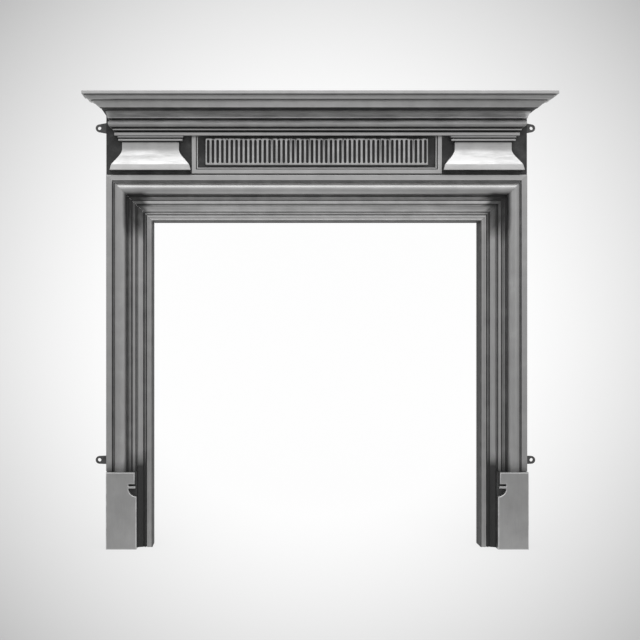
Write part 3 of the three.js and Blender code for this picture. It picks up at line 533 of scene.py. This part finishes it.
def neck_surface():
    """The hollow neck over them: its outline (height, depth) carried across between square ends."""
    back = BACKGROUND_DEPTH - SINK
    edge = moulding(NECK_MEMBERS, NECK_BASE, 0)
    outline = np.concatenate([[[NECK_BASE, back]], edge, [[FRIEZE_TOP, back]]])
    height, depth = soften(outline, ARRIS, closed=True).T
    foot, lip = NECK_MEMBERS[0][2:]
    shine_with_painted_light = ramp((depth - foot) / (lip - foot), NECK_PAINTED_LIGHT)
    polish_and_painted_light = np.where(depth < foot - 2, BACKGROUND_POLISH, shine_with_painted_light)
    end = HALF_BODY - NECK_INSET
    rows = [np.column_stack([np.full(len(height), x), depth, height]) for x in (-end, end)]
    return Surface().grid(np.stack(rows), polish_and_painted_light)


UPPER_LUG = extent("upper_left_lug")


def frieze_plate():
    """The frieze's tray: an outline (height, depth) carried across, hollow between its ribs and
    notched at both ends for the lugs."""
    outer = np.array([
        [FRIEZE_BASE, 0],
        [FRIEZE_BASE, BACKGROUND_DEPTH],
        [FRIEZE_TOP, BACKGROUND_DEPTH],
        [FRIEZE_TOP, 0],
    ], float)
    outer = soften(outer, ARRIS)
    low, high = FRIEZE_BASE + SKIN, FRIEZE_TOP - SKIN
    lug_low, lug_high = UPPER_LUG[0][2] - FIT, UPPER_LUG[1][2] + FIT
    heights = [high, high, lug_high, lug_high, lug_low, lug_low, low, low]
    inner = len(heights)
    heights = np.concatenate([outer[:, 0], heights])

    def row(x, *depths):
        """The outer outline, then the inner points at the given depths."""
        depth = np.concatenate([outer[:, 1], depths])
        return np.column_stack([np.full(len(heights), x), depth, heights])

    floor, notch = BACKGROUND_DEPTH - SKIN, LUG_THICKNESS + FIT
    hollow = [0, floor, floor, floor, floor, floor, floor, 0]
    solid, notched = [0] * inner, [0, 0, 0, notch, notch, 0, 0, 0]
    side = HALF_BODY - SKIN
    rows = [row(-HALF_BODY, *notched), row(-side, *notched), row(-side, *hollow)]
    for start, end in rib_places(-side, side):
        rows += [row(start, *hollow), row(start, *solid), row(end, *solid), row(end, *hollow)]
    rows += [row(side, *hollow), row(side, *notched), row(HALF_BODY, *notched)]
    polish_and_painted_light = np.where(np.arange(len(heights)) < len(outer), BACKGROUND_POLISH, 0.0)
    return Surface().grid(np.stack(rows), polish_and_painted_light)


PANEL_HALF_WIDTH = 347
PANEL_FOOT = 2
# (distance in from the outer edge, relief): the stile, a quirk and the inner bead
PANEL_OUTLINE = np.array([
    [0, -SINK], [0, 8], [11.5, 8], [11.5, 0.4], [13.5, 0.4], [13.5, 5], [17, 5], [17, -SINK],
], float)


def panel_frame():
    """The raised frame of the panel: its outline carried down one side, along the foot and up the
    other side, turned at two mitred corners."""
    line = soften(PANEL_OUTLINE, ARRIS)
    inward, relief = line[:, 0], line[:, 1] + BACKGROUND_DEPTH
    side = PANEL_HALF_WIDTH - inward
    foot = FRIEZE_BASE + PANEL_FOOT + inward
    top = np.full(len(line), BED_BASE + SINK)
    rows = [(-side, top), (-side, foot), (side, foot), (side, top)]
    points = np.stack([np.column_stack([x, relief, z]) for x, z in rows])
    return Surface().grid(points, np.clip(wheel_reach(line), BACKGROUND_POLISH, 1))


# ---------------------------------------------------------------- corner blocks

BLOCK_CENTRE = (BLOCK_LOW[0] + BLOCK_HIGH[0]) / 2
BLOCK_DEPTH = 64
BLOCK_FRONT_SHARE = 0.4
BLOCK_MEMBERS = [
    ("flat", 4, 12),
    ("flat", 4, 3),
    ("flat", 5, 10),
    ("flat", 4, -1),
    ("flat", 18, 0),
    ("bell", 45, 0, 29),
    ("flat", 15, 29, 33),
]
BLOCK_HALF_WIDTH = (BLOCK_HIGH[0] - BLOCK_LOW[0]) / 2 - BLOCK_MEMBERS[-1][3]
BLOCK_PAINTED_HIGHLIGHT = [(30, 0), (48, 1), (76, 1), (81, 0)]  # a painted highlight on the flare, by the distance from the top


def block_surface():
    """The right corner block: one ring for each point of its outline, from the top down. An offset
    widens the ring to both sides, and a share of it to the front. A painted highlight lies on the
    flare."""
    line = moulding(BLOCK_MEMBERS)
    closed = np.concatenate([[[0, -SKIN]], line, [[line[-1, 0], -SKIN]]])
    line = soften(closed, ARRIS)[1:-1]
    down, offset = line.T
    polish_and_painted_light = wheel_reach(line) + ramp(down, BLOCK_PAINTED_HIGHLIGHT)
    half, front = BLOCK_HALF_WIDTH + offset, BLOCK_DEPTH + BLOCK_FRONT_SHARE * offset
    rows = rings(half, front, BLOCK_HIGH[2] - down, BACKGROUND_DEPTH + FIT, BLOCK_CENTRE)
    return Surface().grid(rows, polish_and_painted_light[:, None])


# ---------------------------------------------------------------- mantel shelf

SHELF_SLOPE = 13
SHELF_MEMBERS = [
    ("flat", SHELF_SLOPE, -42, -27),
    ("flat", 3, -24),
    ("ovolo", 8, -19, -10),
    ("flat", 3, -7),
    ("flat", 7, 0),
    ("ovolo", 2, 0, -1.5),
]
SHELF_WHEEL = 16
SHELF_EDGE = 0.5  # height over the underside, up to which the shelf is black
SLOPE_PAINTED_LIGHT = [(SHELF_EDGE, 0.3), (SHELF_SLOPE, -0.1)]  # painted light, lighter near the underside, by the height over the underside
EAR_DEPTH = 55  # of the overhanging ends, from the front edge


def shelf_surface():
    """The shelf: one ring for each point of its edge moulding, from the underside to the top.
    Behind the overhanging ends each ring steps in to the sides of the frieze."""
    edge = moulding(SHELF_MEMBERS, SHELF_BASE, 0)
    closed = np.concatenate([[[SHELF_BASE, -50]], edge, [[SHELF_TOP, -30]]])
    line = soften(closed, ARRIS)[1:]
    height, offset = line.T
    polish_and_painted_light = wheel_reach(line, wheel=SHELF_WHEEL)
    on_slope = height < SHELF_BASE + SHELF_SLOPE + 0.1
    polish_and_painted_light += ramp(height - SHELF_BASE, SLOPE_PAINTED_LIGHT) * on_slope
    polish_and_painted_light[height < SHELF_BASE + SHELF_EDGE] = BACKGROUND_POLISH
    step = SHELF_DEPTH - EAR_DEPTH
    front_part = rings(SHELF_HALF + offset, SHELF_DEPTH + offset, height, step)
    zero = np.zeros(len(line))
    corner = np.column_stack([zero + HALF_BODY, zero, height])[:, None]
    right = np.concatenate([corner, corner + [0, step, 0]], axis=1)
    left = right[:, ::-1] * [-1, 1, 1]
    ring = np.concatenate([right, front_part, left], axis=1)
    return Surface().grid(ring, polish_and_painted_light[:, None])


# ---------------------------------------------------------------- plain plates with a cut outline


def outline_offset(outline, inward):
    """A closed outline moved inwards: each corner slides along the bisector of its two sides."""
    before, after = np.roll(outline, 1, axis=0), np.roll(outline, -1, axis=0)

    def normal(vector):
        vector = vector / np.linalg.norm(vector, axis=1, keepdims=True)
        return np.column_stack([-vector[:, 1], vector[:, 0]])

    first, second = normal(outline - before), normal(after - outline)
    bisector = first + second
    slide = inward / np.maximum(np.sum(bisector * first, axis=1), 0.5)
    return outline + bisector * slide[:, None]


def at_depth(outline, depth):
    """A row of vertices: an outline (x, height) at one depth."""
    return np.column_stack([outline[:, 0], np.full(len(outline), depth), outline[:, 1]])


def rounded_edge(front, radius):
    """(inset, depth) of an edge turned by a quarter circle, from its side to the face:
    inset r (1 - cos a) at depth front - r (1 - sin a)."""
    turn = np.linspace(0, math.pi / 2, CORNER_STEPS + 1)
    return list(zip(radius * (1 - np.cos(turn)), front - radius * (1 - np.sin(turn))))


PLATE_EDGE = 1.8  # radius of a plate's front edge
PLATE_RIM = 0.6  # from there to the last row, which lies on the face


def plate_rows(outline, back, front):
    """Rows of a plate with a counter-clockwise outline (x, height) and a rounded front edge."""
    levels = [(0.0, back), *rounded_edge(front, PLATE_EDGE), (PLATE_EDGE + PLATE_RIM, front)]
    return np.stack([at_depth(outline_offset(outline, inset), depth) for inset, depth in levels])


PLINTH_FACING = 13  # thickness of the cut-out facing on the block
STOP_CHEEK = 5  # from the block's inner side to the facing, above the stop
STOP_WIDTH = 22  # how far the stop is cut into the facing
STOP_NOTCH_TOP = 180
STOP_LEDGE_TOP = 174
STOP_LEDGE_HEIGHT = 6
STOP_LEDGE_OVERHANG = 3  # from the block's inner side to the ledge
PLINTH_BLOCK_PAINTED_SHADE = 0.12  # painted shade: black behind the stop
# The facing's side, its edge with a painted highlight, and its face
PLINTH_FACING_POLISH_AND_HIGHLIGHT = np.array([0.5] + [1.9] * (CORNER_STEPS + 1) + [0.97])


def plinth_surface():
    """The right plinth: a plain block behind, and a facing whose upper inner corner is a stop."""
    inner, outer = PLINTH_LOW[0], PLINTH_HIGH[0]
    back, ground = FRAME_GROUND + FIT, PLINTH_DEPTH - PLINTH_FACING
    top = PLINTH_HEIGHT
    block = np.array([[inner, 0], [outer, 0], [outer, top], [inner, top]], float)
    deep = inner + STOP_WIDTH
    foot = STOP_LEDGE_TOP - STOP_LEDGE_HEIGHT
    turn = np.linspace(0, math.pi / 2, CURVE_STEPS)
    hollow = np.column_stack([inner + STOP_WIDTH * np.cos(turn), foot - STOP_WIDTH * np.sin(turn)])
    facing = np.concatenate([
        [[inner, 0], [outer, 0], [outer, top], [inner + STOP_CHEEK, top]],
        [[inner + STOP_CHEEK, STOP_NOTCH_TOP], [deep, STOP_NOTCH_TOP], [deep, STOP_LEDGE_TOP]],
        [[inner + STOP_LEDGE_OVERHANG, STOP_LEDGE_TOP], [inner + STOP_LEDGE_OVERHANG, foot]],
        hollow,
    ])
    surface = Surface()
    surface.grid(plate_rows(block, back, ground), PLINTH_BLOCK_PAINTED_SHADE)
    facing_rows = plate_rows(facing, ground - SINK, PLINTH_DEPTH)
    surface.grid(facing_rows, PLINTH_FACING_POLISH_AND_HIGHLIGHT[:, None])
    return surface


# ---------------------------------------------------------------- fluted panel

FLUTE_COUNT = 47
FLUTE_PITCH = 13.1
FLUTE_WIDTH = 7.2
FLUTE_LENGTH = 65
FLUTE_DEPTH = 4.5
FLUTE_STEPS = 6  # of the half circle at either end of a flute
# Rings of a flute from its rim to its bottom, as (share of the half width, depth): a rounded rim,
# then a hollow with a flat bottom.
FLUTE_PROFILE = np.array([
    [1.16, 0.0], [1.06, 0.12], [0.98, 0.5], [0.93, 1.2], [0.84, 2.9], [0.6, 4.2],
    [0.3, FLUTE_DEPTH],
])
FLUTE_SHINE = [(0, 1.3), (0.6, 1.1), (2.6, 0)]  # by depth
CELL_MARGIN = 1.5  # from a flute's end to the end of its cell
FLUTED_THICKNESS = 6.5
FLUTED_CORNER = 6
FLUTED_EDGE = 1.2  # radius of the panel's front edge
# By the share of the cells' half height: painted shade darkens the margin over the flutes, under
# the moulding above, and the one under them stays bright.
MARGIN_PAINTED_SHADE = [(-1, 0.95), (0.9, 0.5), (1, 0.1)]


def fluted_surface():
    """The fluted panel. A flute's ring is a long round: a half circle at each end of a straight
    stretch. The cell round each flute is a rectangle, and the margin runs on to a rounded edge."""
    low, high = PANEL_LOW, PANEL_HIGH
    back = BACKGROUND_DEPTH + FIT
    front = back + FLUTED_THICKNESS
    centre = (low[2] + high[2]) / 2
    cell_half = FLUTE_LENGTH / 2 + CELL_MARGIN
    turn = np.linspace(0, math.pi, FLUTE_STEPS + 1)
    arc = np.column_stack([np.cos(turn), np.sin(turn)])
    unit = np.concatenate([arc, -arc])
    end = np.repeat([1.0, -1.0], len(turn))
    cell_x = np.clip(unit[:, 0] * 1.5, -1, 1) * FLUTE_PITCH / 2
    cell = np.column_stack([cell_x, end * cell_half])
    ring = FLUTE_PROFILE[:, 0, None, None] * unit * FLUTE_WIDTH / 2
    ring[:, :, 1] += end * (FLUTE_LENGTH - FLUTE_WIDTH) / 2
    loops = np.concatenate([cell[None], ring])
    depths = np.concatenate([[0.0], FLUTE_PROFILE[:, 1]])
    depth = front - np.broadcast_to(depths[:, None], loops.shape[:2])
    shine_with_painted_light = ramp(depths, FLUTE_SHINE)[:, None]
    places = (np.arange(FLUTE_COUNT) - (FLUTE_COUNT - 1) / 2) * FLUTE_PITCH
    surface = Surface()
    for place in places:
        points = np.stack([loops[..., 0] + place, depth, loops[..., 1] + centre], axis=-1)
        surface.grid(points, shine_with_painted_light, first_cap=False)
    # The margin, from the cells' outer edge to the panel's rounded edge and round to its back.
    edge_x = FLUTE_COUNT * FLUTE_PITCH / 2
    border = np.concatenate([cell[: len(turn), 0] + place for place in places])
    border = np.unique(np.round(border, 6))
    top = np.column_stack([border[::-1], np.full(len(border), cell_half)])
    loop = np.concatenate([top, -top])
    outer_half = np.array([high[0], (high[2] - low[2]) / 2])
    corner = outer_half - FLUTED_CORNER

    def outer(inset):
        """The loop's points moved out to a rectangle with round corners, less an inset."""
        share = np.abs(loop) / [edge_x, cell_half]
        target = np.sign(loop) * np.where(share > 0.9999, outer_half, np.abs(loop))
        near = np.sign(loop) * np.minimum(np.abs(target), corner)
        away = target - near
        length = np.maximum(np.linalg.norm(away, axis=1, keepdims=True), 1e-9)
        return near + away / length * (FLUTED_CORNER - inset)

    rows = [at_depth(loop + [0, centre], front)]
    for inset, depth in [*reversed(rounded_edge(front, FLUTED_EDGE)), (0, back)]:
        rows.append(at_depth(outer(inset) + [0, centre], depth))
    surface.grid(np.stack(rows), ramp(loop[:, 1] / cell_half, MARGIN_PAINTED_SHADE), first_cap=False)
    return surface


# ---------------------------------------------------------------- finishes


class Socket:
    """A number in a shader: expressions on it add Math nodes."""

    def __init__(self, tree, link):
        self.tree, self.link = tree, link

    def math(self, operation, *others, clamp=False):
        node = self.tree.nodes.new("ShaderNodeMath")
        node.operation, node.use_clamp = operation, clamp
        for socket, value in zip(node.inputs, (self, *others)):
            plug(self.tree, socket, value)
        return Socket(self.tree, node.outputs[0])

    def __add__(self, other):
        return self.math("ADD", other)

    def __sub__(self, other):
        return self.math("SUBTRACT", other)

    def __mul__(self, other):
        return self.math("MULTIPLY", other)

    def __rsub__(self, other):
        return (self * -1.0) + other

    __radd__ = __add__

    def between(self, low, high):
        """0 below low, 1 above high, a straight ramp in between."""
        return ((self - low) * (1.0 / (high - low))).math("ADD", 0.0, clamp=True)


def plug(tree, socket, value):
    """Links a Socket, or sets a plain value."""
    if isinstance(value, Socket):
        tree.links.new(value.link, socket)
    else:
        socket.default_value = value


class Shader:
    """A material's node tree."""

    def __init__(self, name):
        self.material = bpy.data.materials.new(name)
        self.material.use_nodes = True
        self.tree = self.material.node_tree
        self.tree.nodes.clear()

    def node(self, kind, output=0, inputs=None, **settings):
        """Adds a node: its settings first, then the values or links of its sockets."""
        node = self.tree.nodes.new("ShaderNode" + kind)
        for name, value in settings.items():
            setattr(node, name, value)
        for name, value in (inputs or {}).items():
            plug(self.tree, node.inputs[name], value)
        return Socket(self.tree, node.outputs[output])

    def noise(self, position, scale, detail, roughness):
        inputs = {"Vector": position, "Scale": scale, "Detail": detail, "Roughness": roughness}
        return self.node("TexNoise", 0, inputs)

    def surface(self, shader):
        """The material, with its surface linked."""
        output = self.tree.nodes.new("ShaderNodeOutputMaterial")
        plug(self.tree, output.inputs["Surface"], shader)
        return self.material

    def metal(self, colour, metallic, roughness, relief, strength, distance):
        """The material as a metal; its relief only tilts the shading."""
        bump = {"Height": relief, "Strength": strength, "Distance": distance}
        return self.surface(self.node("BsdfPrincipled", 0, {
            "Base Color": colour,
            "Metallic": metallic,
            "Roughness": roughness,
            "Normal": self.node("Bump", 0, bump),
        }))


def mix_colour(shader, factor, low, high):
    """A Mix node on colours; its sockets share their names with those for numbers, so they are
    taken by place."""
    node = shader.tree.nodes.new("ShaderNodeMix")
    node.data_type = "RGBA"
    plug(shader.tree, node.inputs[0], factor)
    plug(shader.tree, node.inputs[6], low)
    plug(shader.tree, node.inputs[7], high)
    return Socket(shader.tree, node.outputs[2])


def grey(value, warmth=0.0):
    """A colour with red and blue apart by twice the warmth."""
    return (value * (1 + warmth), value, value * (1 - warmth), 1.0)


BLACK_FINISH_AND_PAINTED_SHADE = 0.025  # grey of the blackened recesses and of the painted shade
PAINTED_HIGHLIGHT_GREYS = (0.44, 0.62)  # greys of the painted highlight
WISPS = {"Rotation": (0.0, 0.45, 0.0), "Scale": (0.35, 1.0, 1.6)}  # slanted streaks in the painted highlight


def polished_iron(name, stretch, lit_grey):
    """Iron cleaned on a wheel: light grey where the wheel reached, blackened in the recesses, with
    fine scratches along the moulding and soft clouds of remaining scale. The polish attribute also
    carries painted shade, which blackens the metal too, and painted highlights, which above 1 turn
    it to a streaked highlight grey."""
    shader = Shader(name)
    place = shader.node("TexCoord", "Object")
    along = shader.node("Mapping", 0, {"Vector": place, "Scale": stretch})
    slanted = shader.node("Mapping", 0, {"Vector": place, **WISPS})
    clouds = shader.noise(place, 22.0, 5.0, 0.6)
    grain = shader.noise(place, 900.0, 3.0, 0.6)
    scratches = shader.noise(along, 700.0, 4.0, 0.65)
    waves = shader.noise(along, 35.0, 2.0, 0.5)
    wisps = shader.noise(slanted, 26.0, 4.0, 0.6)
    reach = shader.node("Attribute", "Fac", attribute_name="polish_and_painted_light")
    clean = (reach + (clouds - 0.5) * 0.35 + (grain - 0.5) * 0.18).between(0.08, 0.92)
    painted_highlight = (reach + (clouds - 0.5) * 0.5).between(1.05, 1.75)
    wear_and_painted_light = clean * (0.86 + (clouds - 0.5) * 0.3 + (scratches - 0.5) * 0.2)
    wear_and_painted_light = wear_and_painted_light.math("ADD", 0.0, clamp=True)
    shine_with_painted_light = mix_colour(shader, wisps.between(0.38, 0.58), *[grey(value) for value in PAINTED_HIGHLIGHT_GREYS])
    # the clean grey differs between the two copies: painted light from above on the level one
    colour = mix_colour(shader, wear_and_painted_light, grey(BLACK_FINISH_AND_PAINTED_SHADE), grey(lit_grey, 0.004))
    colour = mix_colour(shader, painted_highlight, colour, shine_with_painted_light)
    roughness = 0.64 - clean * 0.24 + (scratches - 0.5) * 0.16 + (clouds - 0.5) * 0.08
    scored = (scratches - 0.5) * (clean * 0.25)
    relief = scored + (grain - 0.5) * (1.0 - clean * 0.75) + waves * 2.2
    return shader.metal(colour, 0.35 + clean * 0.6, roughness, relief, 0.35, 0.0006)


def black_iron(name):
    """Iron as it was cast, painted black: dull, with a coarse grain."""
    shader = Shader(name)
    place = shader.node("TexCoord", "Object")
    clouds = shader.noise(place, 60.0, 4.0, 0.6)
    grain = shader.noise(place, 1200.0, 3.0, 0.7)
    colour = mix_colour(shader, clouds.between(0.3, 0.7), grey(0.05), grey(0.10))
    return shader.metal(colour, 0.5, 0.5 + clouds * 0.2, grain, 0.5, 0.0005)


def fixing_steel(name):
    """Dull steel of bolts and nuts, darker in patches where it was handled."""
    shader = Shader(name)
    place = shader.node("TexCoord", "Object")
    patches = shader.noise(place, 180.0, 4.0, 0.6)
    colour = mix_colour(shader, patches.between(0.3, 0.7), grey(0.16), grey(0.34))
    return shader.metal(colour, 0.9, 0.35 + patches * 0.25, patches, 0.2, 0.0004)


# ---------------------------------------------------------------- stage, camera and light


CAMERA_DISTANCE = 2600  # from the middle of the mouldings
CAMERA_DEPTH = 52  # of the middle of the mouldings, forward of the wall
CAMERA_X = -177
CAMERA_HEIGHT = 615.5
PIXELS_PER_MM = 0.3592  # at the middle of the mouldings
PICTURE = 640
AXIS_PIXEL = (253, 326)  # where the camera's axis meets the picture
SENSOR = 36
CAMERA_PLACE = (CAMERA_X * MM, (WALL - CAMERA_DEPTH - CAMERA_DISTANCE) * MM, CAMERA_HEIGHT * MM)


BACKDROP_SHARE = 0.92  # how far the backdrop is lifted to its tone
VIGNETTE_START = 195.0  # distance from the picture's middle, in pixels
VIGNETTE_END = 450.0
VIGNETTE_POWER = 1.27
VIGNETTE_FALL = 0.5
VIGNETTE_NEAREST = 1.7  # m from the camera; nearer points are taken as this far


def studio_floor():
    """A pale floor that runs up into a backdrop: a level stretch, a quarter circle and a wall."""
    near, turn_y, radius, high, half = -9.0, 1.6, 1.2, 6.0, 8.0
    turn = np.linspace(0, math.pi / 2, 24)
    arc = np.column_stack([turn_y + radius * np.sin(turn), radius * (1 - np.cos(turn))])
    line = np.concatenate([[[near, 0.0]], arc, [[turn_y + radius, high]]])
    points = np.stack([np.insert(line, 0, side, axis=1) for side in (-half, half)])
    mesh = bpy.data.meshes.new("studio_floor")
    mesh.from_pydata(points.reshape(-1, 3), [], grid_faces(2, len(line), closed=False).tolist())
    mesh.shade_smooth()
    floor = bpy.data.objects.new("studio_floor", mesh)
    bpy.context.scene.collection.objects.link(floor)
    mesh.materials.append(studio_white())


def studio_white():
    """Matt off-white. What the camera or a reflection sees of it is lifted towards white in the
    middle of the picture, less so towards its corners: a point (x, y, z) from the camera shows at
    (x / y, z / y), and the tone falls with the distance of that from the picture's middle. That
    fall is a painted vignette: shade painted on the backdrop."""
    shader = Shader("studio_white")
    path = shader.tree.nodes.new("ShaderNodeLightPath")
    seen = Socket(shader.tree, path.outputs["Is Camera Ray"])
    for kind in ("Is Glossy Ray", "Is Transmission Ray"):
        seen = seen.math("MAXIMUM", Socket(shader.tree, path.outputs[kind]))
    place = shader.node("TexCoord", "Object")
    split = shader.tree.nodes.new("ShaderNodeSeparateXYZ")
    plug(shader.tree, split.inputs[0], place)
    x, y, z = [Socket(shader.tree, output) for output in split.outputs]
    away = (y - CAMERA_PLACE[1]).math("MAXIMUM", VIGNETTE_NEAREST)
    focal = PIXELS_PER_MM * CAMERA_DISTANCE
    across = (x - CAMERA_PLACE[0]).math("DIVIDE", away) * focal + (AXIS_PIXEL[0] - PICTURE / 2)
    up = (z - CAMERA_PLACE[2]).math("DIVIDE", away) * focal + (PICTURE / 2 - AXIS_PIXEL[1])
    radius = (across * across + up * up).math("SQRT")
    painted_vignette = radius.between(VIGNETTE_START, VIGNETTE_END).math("POWER", VIGNETTE_POWER)
    painted_vignette = painted_vignette * VIGNETTE_FALL
    tone = mix_colour(shader, painted_vignette, grey(1.0), grey(0.0))
    matt = shader.node("BsdfDiffuse", 0, {"Color": grey(0.8)})
    glow = shader.node("Emission", 0, {"Color": tone, "Strength": 1.0})
    blend = shader.node("MixShader", 0, {0: seen * BACKDROP_SHARE, 1: matt, 2: glow})
    return shader.surface(blend)


def area_light(name, place, aim, size, radiance):
    """A rectangular lamp that faces a point; its power is radiance x pi x area."""
    lamp = bpy.data.lights.new(name, "AREA")
    lamp.shape = "RECTANGLE"
    lamp.size, lamp.size_y = size
    lamp.energy = radiance * math.pi * size[0] * size[1]
    light = bpy.data.objects.new(name, lamp)
    bpy.context.scene.collection.objects.link(light)
    light.location = place
    light.rotation_euler = (Vector(aim) - Vector(place)).to_track_quat("-Z", "Y").to_euler()


def studio_light():
    """A wide soft box high in front, a narrow one at the right, and a sky that is dimmer near the
    horizon: its strength grows with the height of the direction looked in."""
    area_light("softbox", (0.0, -2.3, 3.3), (0.0, 0.0, 1.0), (5.0, 1.3), 2.2)
    area_light("side_softbox", (2.4, -2.6, 0.9), (0.0, 0.0, 0.7), (0.6, 1.8), 1.0)
    world = bpy.data.worlds.new("studio")
    bpy.context.scene.world = world
    world.use_nodes = True
    tree = world.node_tree
    direction = tree.nodes.new("ShaderNodeTexCoord").outputs["Generated"]
    split = tree.nodes.new("ShaderNodeSeparateXYZ")
    tree.links.new(direction, split.inputs[0])
    rise = Socket(tree, split.outputs["Z"]).between(-0.05, 0.35)
    background = tree.nodes["Background"]
    background.inputs["Color"].default_value = grey(1.0)
    plug(tree, background.inputs["Strength"], 0.66 + rise * 0.44)


def camera():
    """The photograph's view: level, straight on, with the picture's middle beside the axis."""
    data = bpy.data.cameras.new("camera")
    data.sensor_width = SENSOR
    data.lens = PIXELS_PER_MM * CAMERA_DISTANCE / PICTURE * SENSOR
    data.shift_x = (PICTURE / 2 - AXIS_PIXEL[0]) / PICTURE
    data.shift_y = (AXIS_PIXEL[1] - PICTURE / 2) / PICTURE
    view = bpy.data.objects.new("camera", data)
    view.location = CAMERA_PLACE
    view.rotation_euler = (math.pi / 2, 0, 0)
    bpy.context.scene.collection.objects.link(view)
    bpy.context.scene.camera = view


# ---------------------------------------------------------------- assembly

camera()
studio_floor()
studio_light()

# The level copy's lighter clean grey is painted light from above; the upright copy is less lit.
upright = polished_iron("polished_iron_upright_less_lit", (1.0, 1.0, 0.03), 0.38)
level = polished_iron("polished_iron_level_lit_from_above", (0.03, 1.0, 1.0), 0.44)
black = black_iron("black_iron")
steel = fixing_steel("fixing_steel")

section = FrameSection()
leg = leg_surface(section)
leg.make("left_leg_casting", upright, "left_leg")
leg.mirrored().make("right_leg_casting", upright, "right_leg")
lintel_surface(section).make("lintel_casting", level, "lintel")
frieze_plate().make("frieze_plate", level, "frieze")
bed_surface().make("frieze_bed_moulding", level, "frieze")
neck_surface().make("frieze_neck", level, "frieze")
panel_frame().make("frieze_panel_frame", level, "frieze")
fluted_surface().make("fluted_panel_casting", upright, "fluted_panel")
block = block_surface()
block.make("right_corner_block_casting", level, "right_corner_block")
block.mirrored().make("left_corner_block_casting", level, "left_corner_block")
plinth = plinth_surface()
plinth.make("right_plinth_casting", upright, "right_plinth")
plinth.mirrored().make("left_plinth_casting", upright, "left_plinth")
shelf_surface().make("mantel_shelf_casting", level, "mantel_shelf")

for name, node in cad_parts.items():
    if name.endswith("_lug"):
        finish = black
    elif "_bolt" in name or "_nut" in name:
        finish = steel
    else:
        continue
    node.data.materials.clear()
    node.data.materials.append(finish)

bpy.context.scene.view_settings.view_transform = "Standard"
bpy.context.view_layer.update()
